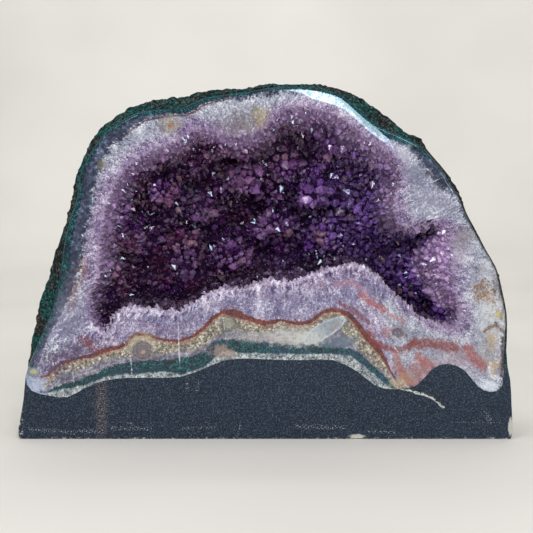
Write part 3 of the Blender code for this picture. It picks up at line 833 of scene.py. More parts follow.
# Eyes, stains and agate patches of the face: (x, z, half width, half height, turn, colour, strength, blur)
FACE_PATCHES = [
    (-170, 60, 13, 9, 30, (80, 66, 102), 0.75, 0.7),
    (-151, 68, 19, 7.5, 25, (62, 44, 72), 0.85, 0.8),
    (-152, 96, 12, 18, -15, (98, 96, 122), 0.65, 0.8),
    (154, 66, 14, 8, -30, (126, 100, 112), 0.45, 0.8),
    (139, 58, 26, 9, 8, (156, 136, 146), 0.65, 0.6),
    (122, 50, 17, 10, -20, (138, 78, 74), 0.75, 0.6),
    (106, 45, 9, 5, 35, (178, 158, 116), 0.80, 0.6),
    (94, 84, 5, 4, 0, (150, 96, 104), 0.70, 0.6),
    (102, 83, 5.5, 5, 0, (66, 48, 58), 0.85, 0.6),
    (57, 76, 15, 4.5, 8, (84, 100, 116), 0.90, 0.25),
    (45, 85, 18.5, 6.2, 30, (126, 138, 150), 0.95, 0.12),
    (43, 84, 12, 3.6, 30, (148, 158, 168), 0.60, 0.5),
    (53, 88, 6, 1.8, 34, (150, 128, 120), 0.60, 0.4),
    (26, 80, 20, 6, 0, (196, 196, 188), 0.80, 0.6),
    (-4, 80, 18, 3.5, 0, (168, 164, 156), 0.50, 0.6),
    (-34, 68, 9, 4.5, -8, (152, 130, 120), 0.85, 0.4),
    (-96, 75, 10.5, 7, 0, (190, 182, 152), 0.5, 0.5),
    (-96, 69.5, 8.0, 7.4, 0, (70, 62, 72), 0.95, 0.25),
    (-96, 69, 5.0, 4.4, 0, (112, 102, 110), 0.80, 0.5),
    (-95, 68, 1.8, 1.6, 0, (176, 152, 128), 0.9, 0.5),
    (-29, 90, 6, 6, 0, (98, 102, 100), 0.85, 0.45),
    (-29, 91, 3.0, 3.0, 0, (148, 148, 128), 0.8, 0.5),
    (-181, 44, 9, 12, 20, (166, 178, 204), 0.90, 0.4),
    (-180, 52.5, 4.6, 4.0, 0, (120, 124, 122), 0.9, 0.4),
    (-180, 52.5, 2.4, 2.0, 0, (176, 176, 110), 0.9, 0.5),
    (-141, 132, 2.6, 7, -10, (118, 62, 52), 0.75, 0.7),
    (-149, 114, 2.2, 11, -12, (112, 66, 58), 0.70, 0.7),
    (-137, 74, 7, 3.0, -30, (112, 46, 44), 0.80, 0.7),
    (-73, 243, 8, 6.5, 0, (146, 142, 126), 0.70, 0.5),
    (-73, 243, 2.4, 2.2, 0, (140, 92, 34), 0.9, 0.7),
    (-126, 213, 2.8, 4.2, -20, (112, 102, 84), 0.75, 0.6),
    (-20, 245, 13, 9, 0, (128, 126, 122), 0.65, 0.7),
    (-25, 243, 6, 4.5, 20, (96, 86, 96), 0.60, 0.7),
    (-14, 242, 4, 3.5, 0, (104, 92, 92), 0.50, 0.7),
    (-4, 250, 5, 7, 0, (150, 136, 70), 0.70, 0.7),
    (2, 268, 6, 3.4, 20, (24, 30, 46), 0.9, 0.6),
    (134, 199, 6, 4, -45, (24, 36, 58), 0.95, 0.4),
    (146, 148, 10, 12, 10, (168, 166, 178), 0.5, 0.6),
    (113, 206, 9, 8, 30, (112, 118, 136), 0.65, 0.5),
    (128, 186, 13, 7, -50, (128, 122, 150), 0.60, 0.7),
    (106, 222, 6, 5, -40, (188, 190, 200), 0.60, 0.6),
    (152, 158, 9, 7, 20, (132, 124, 122), 0.60, 0.6),
    (174, 106, 11, 30, 6, (188, 190, 192), 0.75, 0.6),
    (168, 118, 5, 6, 30, (116, 80, 44), 0.90, 0.8),
    (172, 111, 6, 5, 0, (146, 110, 72), 0.80, 0.8),
    (177, 120, 3.5, 6, 10, (74, 62, 56), 0.70, 0.8),
    (164, 112, 3, 4, 0, (120, 92, 62), 0.60, 0.8),
    (180, 97, 4, 3, 0, (184, 164, 96), 0.90, 0.7),
    (175, 78, 4, 7, 0, (176, 148, 84), 0.80, 0.8),
    (177, 57, 4, 5, 0, (186, 156, 92), 0.75, 0.8),
    (170, 68, 7, 10, 0, (150, 148, 146), 0.5, 0.6),
    (173, 41, 9, 4, 0, (210, 216, 226), 0.9, 0.5),
    (96, 201, 3, 5, 30, (160, 104, 76), 0.6, 0.8),
]
# Soft coloured streaks: (points, half width, colour, strength)
FACE_STREAKS = [
    ([(57, 106), (72, 98), (80, 91)], 2.0, (112, 50, 50), 0.8),
    ([(54, 121), (68, 122), (78, 113)], 1.8, (166, 112, 128), 0.6),
    ([(74, 112), (83, 106), (91, 101)], 3.0, (150, 72, 66), 0.85),
    ([(95, 97), (106, 93)], 2.4, (160, 92, 92), 0.6),
    ([(80, 84), (84, 76), (94, 71), (106, 70), (116, 76)], 2.6, (120, 46, 44), 0.9),
    ([(113, 74), (128, 75), (146, 72)], 4.8, (118, 50, 46), 0.95),
    ([(101, 66), (103, 54), (112, 44)], 3.6, (150, 78, 66), 0.7),
    ([(126, 58), (118, 64)], 4.0, (152, 76, 64), 0.7),
    ([(156, 71), (162, 63), (168, 57)], 4.6, (142, 66, 58), 0.85),
    ([(-141.4, 42.4), (-130.8, 48.9), (-118.9, 52.7), (-98.8, 53.6), (-77.6, 55)], 1.3, (16, 46, 62), 0.9),
    ([(183.5, 78), (184, 66), (183, 50)], 1.9, (58, 18, 26), 0.95),
    ([(185.5, 82), (186, 60)], 1.0, (16, 70, 78), 0.9),
    ([(182, 94), (184, 104)], 1.5, (70, 58, 52), 0.5),
    ([(168, 84), (178, 90), (184, 84)], 1.4, (96, 60, 38), 0.9),
    ([(178, 132), (181, 118), (184, 104)], 0.9, (52, 46, 46), 0.6),
]
# Thin lines around the eyes: (x, z, half width, half height, turn, share of the size, colour, strength)
FACE_RINGS = [
    (45, 85, 17.5, 5.4, 30, 0.05, (196, 208, 216), 0.60),
    (45, 85, 14.5, 4.0, 30, 0.05, (170, 178, 186), 0.45),
    (-96, 69.5, 8.2, 7.6, 0, 0.07, (146, 136, 132), 0.45),
    (-96, 69.5, 5.6, 5.0, 0, 0.08, (132, 122, 128), 0.50),
    (-29, 90, 5.6, 5.4, 0, 0.10, (70, 74, 76), 0.60),
    (-29, 91, 3.4, 3.2, 0, 0.12, (160, 160, 140), 0.50),
    (-180, 52.5, 4.2, 3.6, 0, 0.12, (88, 88, 96), 0.60),
    (-20, 245, 11, 8, 0, 0.05, (84, 84, 84), 0.45),
    (-73, 243, 6.5, 5.6, 0, 0.08, (110, 100, 80), 0.45),
    (102, 83, 5.2, 4.8, 0, 0.12, (168, 150, 152), 0.45),
]
# Pale cracks: (start, end, half width)
FACE_CRACKS = [
    ((-105, 66), (-104, 51), 0.6), ((-110, 76), (-106, 69), 0.5), ((-68, 92), (-67, 58), 0.7),
    ((-150, 52), (-149, 45), 0.5), ((-33, 93), (-31, 76), 0.4), ((111, 214), (117, 221), 0.5),
    ((124, 198), (135, 203), 0.5), ((43, 78), (52, 83), 0.6), ((52, 83), (60, 91), 0.6),
    ((-167, 84), (-158, 86), 0.7), ((106, 64), (98, 74), 0.3),
]


def reaches_crystals(points, size):
    """Whether a mark with this half size comes within the crust's ground edge."""
    spots = in_space(np.array(points, float), 0.0)
    return np.min(rim_distance(spots)[0]) < size + CRUST_AT_FACE + 2


def face_marks(p, body, near):
    """The patches, streaks, rings and cracks of the polished face, or those that come near the crystals."""
    grit = p.noise(1.6, 2.0, 0.6)
    wobble = (p.noise(4.5, 4.0, 0.65) - 0.5) * 1.1 + (grit - 0.5) * 0.7
    torn = wobble * 1.3 + (grit - 0.5) * 1.6
    smooth_edge = wobble * 0.18
    ragged = (p.noise(2.6, 3.0, 0.65) - 0.5) * 2.8
    grain = p.noise(1.0, 2.0, 0.6)
    grainy = (grain * 0.8 + 0.45).math("MINIMUM", 1.0)
    patches = [mark for mark in FACE_PATCHES if not near or reaches_crystals([mark[:2]], max(mark[2:4]))]
    streaks = [mark for mark in FACE_STREAKS if not near or reaches_crystals(mark[0], mark[1])]
    rings = [mark for mark in FACE_RINGS if not near or reaches_crystals([mark[:2]], max(mark[2:4]))]
    cracks = [mark for mark in FACE_CRACKS if not near or reaches_crystals(mark[:2], mark[2])]
    for x, z, wide, tall, turn, shade, strength, blur in patches:
        edge = torn if blur > STAIN_BLUR else wobble if blur > EYE_BLUR else smooth_edge
        mask = p.spot(x, z, wide, tall, turn, blur, edge) * grainy * strength
        body = p.mix(body, srgb(*shade), mask)
    for points, width, shade, strength in streaks:
        mask, *parts = [p.line(start, end, width * 1.3, ragged) for start, end in zip(points, points[1:])]
        for part in parts:
            mask = mask.math("MAXIMUM", part)
        body = p.mix(body, srgb(*shade), mask * grainy * strength)
    for x, z, wide, tall, turn, thin, shade, strength in rings:
        body = p.mix(body, srgb(*shade), p.ring(x, z, wide, tall, turn, thin, smooth_edge) * strength)
    body = p.mix(body, srgb(26, 20, 32), p.step(grit, 0.44, 0.12) * 0.26)
    for start, end, width in cracks:
        crack = p.line(start, end, width * 0.85, ragged * 0.3)
        body = p.mix(body, srgb(212, 214, 222), crack * (wobble * 0.8 + grain * 0.7))
    return body


def polished_face(p, settings, near=False):
    """Colour of the ground front of the rim, and its grain. near leaves out what is far from the crystals."""
    body, fibres, sugar, clouds = quartz(p, settings)
    body = bands(p, body, fibres, sugar, clouds)
    return face_marks(p, body, near), sugar


def rind_material(settings):
    """Ground and polished agate and quartz, with a faint waviness."""
    p = Paint("agate")
    body, sugar = polished_face(p, settings)
    relief = p.bump(p.noise(7.0, 2.0) + sugar * 0.15, 0.04)
    return p.finish(
        Base_Color=body, Roughness=0.16 + sugar * 0.12, Normal=relief, IOR=QUARTZ_IOR,
        Coat_Weight=0.35, Coat_Roughness=POLISH_ROUGHNESS, Specular_IOR_Level=0.3,
    )


# Crystal crust


def pale_share(points, from_rim, rim_station):
    """1 where crystals are pale, close to the rim, and 0 where they are deep in colour."""
    width = np.interp(rim_station, RIM_STATIONS, RIM_PALE)
    width *= 1 + 0.45 * noise_at(points, 20.0) * smooth(width, 4, 9)
    return smooth(from_rim / width, 1.15, 0.25)


SHELL_COLUMNS, SHELL_ROWS = 1170, 62
SHELL_FACE_FROM, SHELL_FACE_TO = 7, 14  # rows of the ground edge
TOOTH_PITCH = 4.4
TOOTH_LEAST, TOOTH_MORE, TOOTH_ROOT = 1.4, 2.1, 0.4


def scattered(number):
    """A value from 0 to 1 for each whole number, in no order."""
    return np.abs(np.sin(number * 12.9898) * 43758.5453 % 1.0)


def teeth(around):
    """How far the crystals' tips stand into the hollow along the ground edge."""
    lengths = length_along(around)
    place = lengths / TOOTH_PITCH + 0.6 * noise_at(np.stack([lengths, 0 * lengths, 0 * lengths], 1), 9.0)
    number = np.floor(place)
    tall = TOOTH_LEAST + TOOTH_MORE * scattered(number)
    tall *= smooth(np.minimum(lengths, lengths.max() - lengths), 0.0, 3.0)  # the loop's two ends meet
    return tall * (1 - np.abs(2 * (place - number) - 1)) - TOOTH_ROOT


def place_shell(around, across):
    """The crust: its back in the socket, the ground edge with teeth, and the wall behind the crystals."""
    row = np.round(across * SHELL_ROWS)
    step = bed_step(row, SHELL_FACE_FROM, 0)
    back = bed(SOCKET_LOOP, around, 0.0, HOLLOW_DEPTH + CRUST_BEHIND, HOLLOW_FULLNESS, step)
    crystal, rind = on_loop(CRYSTAL_LOOP, around), on_loop(RIND_LOOP, around)
    reach = np.linalg.norm(crystal - rind, axis=1)
    first = 1 - CRUST_AT_FACE / reach
    t = np.clip((row - SHELL_FACE_FROM) / (SHELL_FACE_TO - SHELL_FACE_FROM), 0, 1)
    share = first + (1 - first) * t
    face, depth, outer, inner = face_point(around, share)
    tips = teeth(around)
    face = face - on_loop(CRYSTAL_OUT, around) * (tips * t)[:, None]
    front = in_space(face, depth)
    step = np.clip((row - SHELL_FACE_TO) / (SHELL_ROWS - SHELL_FACE_TO), 0, 1)
    wall = hollow_wall(around, step)
    rim = smooth(step, 0.06, 0.0)
    wall[:, (0, 2)] -= on_loop(CRYSTAL_OUT, around) * (tips * rim)[:, None]
    inside = np.where((row <= SHELL_FACE_TO)[:, None], front, wall)
    points = np.where((row < SHELL_FACE_FROM)[:, None], back, inside)
    values = band_values(around, face, outer, inner)
    pale = pale_share(points, *rim_distance(points))
    return points, {**values, "wall": smooth(row, SHELL_FACE_TO, SHELL_FACE_TO + 2), "pale": pale}


def shell_material(settings, rind_settings):
    """Lavender where it is ground, and dark purple between the crystals, which is painted shade in the gaps.
    """
    p = Paint("crust")
    body, sugar = polished_face(p, rind_settings, near=True)
    # painted shade: the wall between the crystals is dark purple, paler towards the rim
    dark = p.mix(srgb(40, 10, 54), srgb(14, 2, 22), p.noise(6.0, 3.0))
    dark = p.mix(dark, tuple(settings.pale), p.value("pale") * 0.8)
    wall = p.value("wall")
    body = p.mix(body, dark, wall)
    relief = p.bump(sugar, 0.05)
    return p.finish(
        Base_Color=body, Roughness=0.18 + wall * 0.6, Normal=relief, IOR=QUARTZ_IOR,
        Coat_Weight=0.45 - wall * 0.45, Coat_Roughness=POLISH_ROUGHNESS, Specular_IOR_Level=0.1,
    )


# Crystals

CRYSTAL_SEED = 11
CRYSTAL_TRIES = 40000
RIM_CRYSTALS = 300
SEAT_COLUMNS, SEAT_ROWS = 420, 110  # of the grid over which the seats are spread
ROOM_AT_RIM, ROOM_MORE_INSIDE = 3.3, 1.6  # spacing of the crystals
FILLER_SHARE = 0.58  # of that spacing, for the small crystals between the others
CELL = 6.0  # of the grid in which neighbours are looked up
ROOT, SHOULDER, TIP = -1.5, 0.4, 1.45  # heights of a crystal over its seat, in radii of its own
NEIGHBOURS = 70  # seats that tell how far one stands out
LEAST_DEPTH = 0.05  # of a crystal behind the ground face
LOWER_STATION, BAY_STATION = 54, 38  # the middle of the lower edge, and of the pale bay on the right
RED_TINT, BLUE_TINT, GREY_TINT = srgb(104, 44, 62), srgb(118, 80, 184), srgb(176, 134, 152)
AMETHYST_IOR = 1.544
CLEAR_DENSITY = 120.0  # absorption inside a crystal, per metre


def points_of(geometry):
    """The points among what an operator made."""
    return [item for item in geometry if isinstance(item, bmesh.types.BMVert)]


def crystal_shape():
    """A six-sided crystal of radius 1 with a point, its root below 0, as points and faces."""
    shape = bmesh.new()
    root = bmesh.ops.create_circle(shape, cap_ends=True, segments=6, radius=1.0)
    bmesh.ops.translate(shape, verts=root["verts"], vec=(0, 0, ROOT))
    raised = bmesh.ops.extrude_face_region(shape, geom=shape.faces[:])["geom"]
    bmesh.ops.translate(shape, verts=points_of(raised), vec=(0, 0, SHOULDER - ROOT))
    top = [f for f in raised if isinstance(f, bmesh.types.BMFace)]
    tip = bmesh.ops.poke(shape, faces=top)["verts"][0]
    tip.co.z += TIP - SHOULDER
    bmesh.ops.recalc_face_normals(shape, faces=shape.faces)
    points = np.array([v.co[:] for v in shape.verts])
    faces = [[v.index for v in f.verts] for f in shape.faces]
    shape.free()
    return points, faces


def crystal_seats():
    """Where each crystal sits, its room, its distance from the rim, and the nearest station there."""
    chance = np.random.default_rng(CRYSTAL_SEED)
    columns, rows = SEAT_COLUMNS, SEAT_ROWS
    u, v = (g.ravel() for g in np.meshgrid(np.arange(columns) / columns, (np.arange(rows) + 0.5) / rows))
    here = hollow_wall(u, v)
    beside, behind = hollow_wall(u + 1 / columns, v), hollow_wall(u, v + 0.5 / rows)
    area = np.linalg.norm(np.cross(beside - here, behind - here), axis=1)
    picked = chance.choice(len(u), CRYSTAL_TRIES, p=area / area.sum())
    around = u[picked] + chance.random(CRYSTAL_TRIES) / columns
    across = np.clip(v[picked] + (chance.random(CRYSTAL_TRIES) - 0.5) / rows, 0, 0.998)
    around = np.concatenate([np.arange(RIM_CRYSTALS) / RIM_CRYSTALS, around])
    across = np.concatenate([np.full(RIM_CRYSTALS, 0.004), across])
    points = hollow_wall(around, across)
    from_rim, rim_station = rim_distance(points)
    room = ROOM_AT_RIM + ROOM_MORE_INSIDE * smooth(from_rim, 3, 30)
    room *= chance.uniform(0.75, 1.3, len(room)) ** 1.7
    room[len(room) // 2:] *= FILLER_SHARE
    kept, grid = [], {}
    spots, rooms = points.tolist(), room.tolist()
    for i, spot in enumerate(spots):
        a, b, c = (int(part // CELL) for part in spot)
        near = [
            j
            for x in (a - 1, a, a + 1) for y in (b - 1, b, b + 1) for z in (c - 1, c, c + 1)
            for j in grid.get((x, y, z), ())
        ]
        if i >= RIM_CRYSTALS and any(math.dist(spots[j], spot) < (rooms[i] + rooms[j]) / 2 for j in near):
            continue
        kept.append(i)
        grid.setdefault((a, b, c), []).append(i)
    return around[kept], across[kept], points[kept], room[kept], from_rim[kept], rim_station[kept]


def wall_normals(around, across):
    """Unit vectors that stand on the wall and point into the hollow, and outwards near the mouth."""
    small = 0.004
    here = hollow_wall(around, across)
    a = hollow_wall(around + small, across) - here
    b = hollow_wall(around, np.where(across > 0.9, across - small, across + small)) - here
    normal = unit(np.cross(a, b))
    inwards = towards_focus(here)
    normal *= np.sign(np.sum(normal * inwards, 1))[:, None]
    mixed = normal * 0.7 + inwards * 0.3
    mixed[:, 1] -= 0.6 * smooth(here[:, 1], 45, 5)
    return unit(mixed)


def stand_out(points, axis):
    """How far each seat stands out of the wall around it, in millimetres."""
    tree = KDTree(len(points))
    for number, point in enumerate(points):
        tree.insert(point, number)
    tree.balance()
    near = ([points[n] for _, n, _ in tree.find_n(point, NEIGHBOURS)] for point in points)
    around = np.array([np.mean(spots, axis=0) for spots in near])
    return np.sum((points - around) * axis, 1)


def tinted(shades, tint, share):
    """Shades moved to one tint by a share for each."""
    return blend(shades, np.tile(tint, (len(shades), 1)), share)


def crystal_tints(points, axis, from_rim, rim_station, settings, chance):
    """A colour for each crystal: pale at the rim, deep inside, reddish on the left and bluer on the right,
    with painted light on what stands out and painted shade in pockets and behind the lower edge.
    """
    count = len(points)
    cloud = noise_at(points, 26.0)
    pale, lit, deep = (np.array(c) for c in (settings.pale, settings.lit, settings.deep))
    # painted light and shade: a crystal that stands out of the wall around it is lighter, one sunk into it
    # darker
    relief = stand_out(points, axis)
    tone_and_painted_light = relief / 9 + cloud * 0.7 + chance.normal(0, 0.7, count) + 0.85 * smooth(points[:, 0], 10, 80)
    ragged = 1 + 0.6 * noise_at(points + 30, 8.0)
    # painted light: crystals on the large swells are lighter
    for x, z, radius, _ in KNOBS:
        away = np.hypot(points[:, 0] - x, points[:, 2] - z) * ragged
        tone_and_painted_light += 0.3 * smooth(away / radius, 1.3, 0.3)
    # painted shade: crystals in the pockets are darker
    for x, z, wide, high in POCKETS:
        away = np.hypot((points[:, 0] - x) / wide, (points[:, 2] - z) / high) * ragged
        tone_and_painted_light -= 1.1 * smooth(away, 1.3, 0.4)
    shade = tinted(np.tile(deep, (count, 1)), lit, smooth(tone_and_painted_light, -0.7, 1.5))
    left = smooth(points[:, 0], 40, -60) * smooth(noise_at(points + 90, 18.0), -0.3, 0.4)
    left = np.maximum(left, smooth(points[:, 2], 195, 225) * 0.7)
    shade = tinted(shade, RED_TINT, left * 0.55)
    right = smooth(points[:, 0], 0, 90)
    shade = tinted(shade, BLUE_TINT, right * 0.5)
    grey = (chance.random(count) < 0.08) * chance.uniform(0.3, 0.8, count)
    shade = tinted(shade, GREY_TINT, grey)
    rim = pale_share(points, np.maximum(from_rim + chance.normal(0, 0.13, count) * from_rim, 0), rim_station)
    # painted light: the pale crystals around the bay on the right are brightened, up to twice
    bay = smooth(np.abs(rim_station - BAY_STATION), 3.5, 1.5)
    shade = blend(shade, pale * (1 + bay)[:, None], rim)
    # painted light and shade once more: crystals that stand out are brightened and sunk ones darkened, less
    # so at the rim
    shade *= (1 + np.clip(relief / 9, -0.5, 0.35) * (1 - rim))[:, None]
    shade *= chance.uniform(0.65, 1.35, count)[:, None]
    low = np.abs(rim_station - LOWER_STATION) < 10
    # painted shade on the crystals within 12 mm behind the lower edge
    shaded = smooth(from_rim, 12, 3) * low
    shade *= (1 - 0.6 * shaded)[:, None]
    at_edge = np.arange(count) < RIM_CRYSTALS
    edge_tint = np.where(low[at_edge, None], srgb(204, 188, 216), srgb(158, 134, 170))
    shade[at_edge] = blend(shade[at_edge], edge_tint, 0.8)
    return np.clip(shade, 0, 1)


def crystal_mesh(name, settings):
    """Every crystal as its own closed solid, in one mesh, with its colour and zoning, and painted light and
    shade, for the paint.
    """
    chance = np.random.default_rng(CRYSTAL_SEED + 1)
    around, across, seats, room, from_rim, rim_station = crystal_seats()
    normals = wall_normals(around, across)
    count = len(seats)
    axis = unit(normals + chance.normal(0, 0.22, (count, 3)))
    aside = unit(np.cross(axis, chance.normal(0, 1, (count, 3))))
    other = np.cross(axis, aside)
    radius = room * chance.uniform(0.56, 0.74, count)
    tall = radius * chance.uniform(0.85, 1.35, count)
    shape, faces = crystal_shape()
    local = np.tile(shape, (count, 1, 1))
    lean = chance.uniform(-0.38, 0.38, (count, 2))
    local[:, -1, :2] += lean
    stretch = chance.uniform(0.8, 1.2, count)
    points = (
        seats[:, None]
        + local[:, :, 0:1] * (aside * (radius * stretch)[:, None])[:, None]
        + local[:, :, 1:2] * (other * (radius / stretch)[:, None])[:, None]
        + local[:, :, 2:3] * (axis * tall[:, None])[:, None]
    )
    points[:, :, 1] += np.maximum(LEAST_DEPTH - points[:, :, 1].min(1), 0)[:, None]
    sizes = [len(f) for f in faces]
    corners = np.concatenate([np.array(f) for f in faces])
    each = len(shape)
    loops = (corners[None] + (np.arange(count) * each)[:, None]).ravel()
    starts = np.concatenate([[0], np.cumsum(np.tile(sizes, count))[:-1]])
    data = bpy.data.meshes.new(name)
    data.vertices.add(count * each)
    data.loops.add(len(loops))
    data.polygons.add(len(starts))
    data.vertices.foreach_set("co", placed(points.reshape(-1, 3)).ravel())
    data.loops.foreach_set("vertex_index", loops)
    data.polygons.foreach_set("loop_start", starts)
    data.update(calc_edges=True)
    tints = crystal_tints(seats, normals, from_rim, rim_station, settings, chance)
    # painted light and shade: each facet of a crystal is made randomly lighter or darker
    facet_tints_and_painted_light = np.clip(tints[:, None] * chance.uniform(0.55, 1.5, (count, len(faces), 1)), 0, 1)
    facet_tints_and_painted_light = np.concatenate([facet_tints_and_painted_light, np.ones((count, len(faces), 1))], 2)
    data.attributes.new("tint", "FLOAT_COLOR", "FACE").data.foreach_set("color", facet_tints_and_painted_light.ravel())
    return data


def crystal_material(settings):
    """Clear amethyst: see-through, with absorption, tinted crystal by crystal."""
    p = Paint("amethyst")
    # each facet's colour, with its painted light and shade
    body = p.tint("tint")
    haze = p.noise(1.6, 3.0, 0.65, contrast=2.8)  # wisps, dark and pale
    body = p.mix(body, srgb(22, 6, 34), p.step(haze, 0.42, 0.12) * 0.55)
    body = p.mix(body, srgb(206, 186, 214), p.step(haze, 0.62, 0.95) * 0.4)
    relief = p.bump(p.noise(1.4, 2.0), 0.025)
    inside = {"Color": (*settings.clear, 1.0), "Density": CLEAR_DENSITY}
    clear = p.add("ShaderNodeVolumeAbsorption", {}, inside)
    p.tree.links.new(clear.socket, p.tree.nodes["Material Output"].inputs["Volume"])
    return p.finish(
        Base_Color=body, Roughness=0.10 + haze * 0.12, Normal=relief, IOR=AMETHYST_IOR,
        Transmission_Weight=0.4, Specular_IOR_Level=0.35,
    )


# Add-on


class RockSettings(bpy.types.PropertyGroup):
    stone: colour("Stone", "Dark of the honed basalt", 17, 26, 40)
    stone_light: colour("Stone grains", "Light of the honed basalt", 60, 75, 96)
    celadonite: colour("Green skin", "Blue-green mineral on the rough outside", 14, 118, 112)


class RindSettings(bpy.types.PropertyGroup):
    frost: colour("Needles", "Palest needles of the quartz", 238, 236, 244)


class CrystalSettings(bpy.types.PropertyGroup):
    pale: colour("Rim crystals", "Colour of the crystals near the ground edge", 164, 136, 178)
    lit: colour("Crystals", "Lighter colour of the lining", 136, 98, 152)
    deep: colour("Deep crystals", "Darker colour of the lining", 70, 18, 92)
    clear: colour("Clear crystal", "Colour that light takes on inside a crystal", 202, 140, 236)


class StageSettings(bpy.types.PropertyGroup):
    floor: colour("Floor", "Colour of the floor and backdrop", 226, 222, 216)
    distance: length("Camera distance", "From the camera to the front of the rock", 1060)


class CATHEDRAL_OT_rock(bpy.types.Operator):
    """Makes the host rock: the sawn block and the rough skin"""

    bl_idname = "cathedral.rock"
    bl_label = "Host Rock"

    def execute(self, context):
        settings = context.scene.cathedral_rock
        data = sheet("host_rock", ROCK_COLUMNS, ROCK_ROWS, place_rock)
        show("host_rock", data, rock_material(settings), "basalt_matrix", 38)
        return {"FINISHED"}


class CATHEDRAL_OT_rind(bpy.types.Operator):
    """Makes the banded agate rind with its polished face"""

    bl_idname = "cathedral.rind"
    bl_label = "Agate Rind"

    def execute(self, context):
        settings = context.scene.cathedral_rind
        data = sheet("banded_rind", RIND_COLUMNS, RIND_ROWS, place_rind)
        show("banded_rind", data, rind_material(settings), "agate_rind", 40)
        return {"FINISHED"}


class CATHEDRAL_OT_crystals(bpy.types.Operator):
    """Makes the crust's shell and its crystals"""

    bl_idname = "cathedral.crystals"
    bl_label = "Crystals"

    def execute(self, context):
        settings = context.scene.cathedral_crystals
        data = sheet("crust_shell", SHELL_COLUMNS, SHELL_ROWS, place_shell)
        material = shell_material(settings, context.scene.cathedral_rind)
        show("crust_shell", data, material, "amethyst_crust", 40)
        data = crystal_mesh("crystals", settings)
        show("crystals", data, crystal_material(settings), "amethyst_crust", 1)
        return {"FINISHED"}


MIDDLE = (0.0, 0.0, 0.14)  # of the geode, in metres, as all lengths of the stage are
# Lamps that give the object its light, as (name, place, aim, width and height, power)
SHAPE_LAMPS = [
    ("key", (0.20, -1.80, 1.10), MIDDLE, (0.62, 0.62), 22),
    ("front", (-1.0, -1.5, 0.7), MIDDLE, (1.2, 1.0), 6.5),
    ("overhead", (0.0, -0.3, 1.6), MIDDLE, (1.2, 1.0), 9),
    ("backdrop", (0.0, 0.9, 2.0), (0.0, 2.4, 0.7), (2.4, 0.6), 26),
]
# Lamps that show only as reflections: a window up to the right on the rim, and glints on the crystals
GLINT_LAMPS = [
    ("window", (0.39, -1.60, 0.97), MIDDLE, (0.62, 0.62), 24, (0.58, 0.88, 1.0)),
    ("spark", (-0.55, -1.45, 0.85), MIDDLE, (0.16, 0.16), 3),
    ("second spark", (0.75, -1.3, 0.45), MIDDLE, (0.14, 0.14), 2),
]
FLOOR_REACH = 4.0  # to each side
BEND_FROM, BEND_RADIUS, BEND_STEPS = 1.4, 1.0, 24  # where the floor curves up
BACKDROP_RISE = 3.0
SLACK = 0.01  # allowed where an edge is looked for by its place
SENSOR_WIDTH = 36.0  # in millimetres
CAMERA_LIFT = 4.0  # degrees
CAMERA_AIM = (0.0008, SHIFT_Y * MM, 0.1347)


def soft_light(name, place, target, size, power, tint=(1.0, 1.0, 1.0)):
    """An area lamp that faces its target."""
    lamp = bpy.data.lights.new(name, "AREA")
    lamp.shape = "RECTANGLE"
    lamp.size, lamp.size_y = size
    lamp.energy = power
    lamp.color = tint
    made = bpy.data.objects.new(name, lamp)
    made.location = place
    made.rotation_euler = (Vector(target) - Vector(place)).to_track_quat("-Z", "Y").to_euler()
    bpy.context.scene.collection.objects.link(made)
    return made


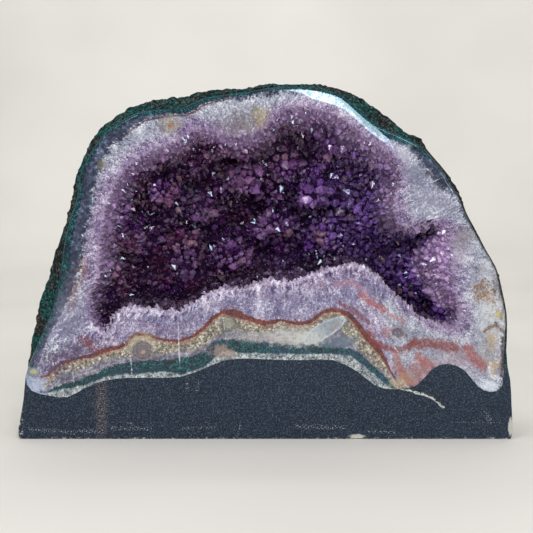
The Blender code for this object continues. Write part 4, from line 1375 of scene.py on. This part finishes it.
class CATHEDRAL_OT_stage(bpy.types.Operator):
    """Makes the floor, the lights and the camera"""

    bl_idname = "cathedral.stage"
    bl_label = "Stage"

    def execute(self, context):
        settings = context.scene.cathedral_stage
        self.floor(settings)
        self.lights(context)
        self.camera(context, settings)
        return {"FINISHED"}

    def floor(self, settings):
        """A floor that curves up into a backdrop."""
        grid = bmesh.new()
        bmesh.ops.create_grid(grid, x_segments=1, y_segments=1, size=FLOOR_REACH)
        back = [e for e in grid.edges if all(v.co.y > FLOOR_REACH - SLACK for v in e.verts)]
        bmesh.ops.translate(grid, verts=back[0].verts[:], vec=(0, BEND_FROM - FLOOR_REACH, 0))
        bmesh.ops.spin(
            grid, geom=back, cent=(0, BEND_FROM, BEND_RADIUS), axis=(1, 0, 0), dvec=(0, 0, 0),
            angle=math.pi / 2, steps=BEND_STEPS,
        )
        top = [e for e in grid.edges if all(v.co.z > BEND_RADIUS - SLACK for v in e.verts)]
        raised = bmesh.ops.extrude_edge_only(grid, edges=top)["geom"]
        bmesh.ops.translate(grid, verts=points_of(raised), vec=(0, 0, BACKDROP_RISE))
        bmesh.ops.recalc_face_normals(grid, faces=grid.faces)
        data = bpy.data.meshes.new("floor")
        grid.to_mesh(data)
        grid.free()
        data.shade_smooth()
        paint = Paint("floor")
        shade = paint.mix(tuple(settings.floor), srgb(214, 210, 204), paint.noise(400.0))
        data.materials.append(paint.finish(Base_Color=shade, Roughness=0.7))
        floor = bpy.data.objects.new("floor", data)
        bpy.context.scene.collection.objects.link(floor)

    def lights(self, context):
        """The lamps, and a faint even light from all around."""
        for lamp in SHAPE_LAMPS:
            soft_light(*lamp).visible_glossy = False
        for lamp in GLINT_LAMPS:
            soft_light(*lamp).visible_diffuse = False
        world = bpy.data.worlds.new("studio")
        world.use_nodes = True
        inputs = world.node_tree.nodes["Background"].inputs
        inputs["Color"].default_value = (0.95, 0.97, 1.0, 1.0)
        inputs["Strength"].default_value = 0.36
        context.scene.world = world
        context.scene.view_settings.view_transform = "Standard"

    def camera(self, context, settings):
        """Nearly level, with the block's front parallel to the picture as in the photograph."""
        lens = bpy.data.cameras.new("camera")
        lens.sensor_width = SENSOR_WIDTH
        lens.angle = 2 * math.atan(PHOTO_WIDTH * PIXEL * MM / 2 / settings.distance)
        camera = bpy.data.objects.new("camera", lens)
        aim = Vector(CAMERA_AIM)
        lift = math.radians(CAMERA_LIFT)
        camera.location = aim + Vector((0.0, -math.cos(lift), math.sin(lift))) * settings.distance
        camera.rotation_euler = (aim - camera.location).to_track_quat("-Z", "Y").to_euler()
        context.scene.collection.objects.link(camera)
        context.scene.camera = camera


OPERATORS = (CATHEDRAL_OT_rock, CATHEDRAL_OT_rind, CATHEDRAL_OT_crystals, CATHEDRAL_OT_stage)
SETTINGS = {
    "cathedral_rock": RockSettings,
    "cathedral_rind": RindSettings,
    "cathedral_crystals": CrystalSettings,
    "cathedral_stage": StageSettings,
}


class CATHEDRAL_PT_panel(bpy.types.Panel):
    """Lists the pieces and their settings"""

    bl_label = "Amethyst Cathedral"
    bl_space_type = "VIEW_3D"
    bl_region_type = "UI"
    bl_category = "Cathedral"

    def draw(self, context):
        for name, operator in zip(SETTINGS, OPERATORS):
            box = self.layout.box()
            for key in SETTINGS[name].__annotations__:
                box.prop(getattr(context.scene, name), key)
            box.operator(operator.bl_idname)


def register():
    """Adds the settings, the operators and the panel to Blender."""
    for item in (*SETTINGS.values(), *OPERATORS, CATHEDRAL_PT_panel):
        bpy.utils.register_class(item)
    for name, item in SETTINGS.items():
        setattr(bpy.types.Scene, name, bpy.props.PointerProperty(type=item))


def unregister():
    for name in SETTINGS:
        delattr(bpy.types.Scene, name)
    for item in (CATHEDRAL_PT_panel, *OPERATORS, *SETTINGS.values()):
        bpy.utils.unregister_class(item)


def main():
    """Makes every piece and the stage."""
    register()
    bpy.ops.cathedral.rock()
    bpy.ops.cathedral.rind()
    bpy.ops.cathedral.crystals()
    bpy.ops.cathedral.stage()
    bpy.context.view_layer.update()


if __name__ == "__main__":
    main()
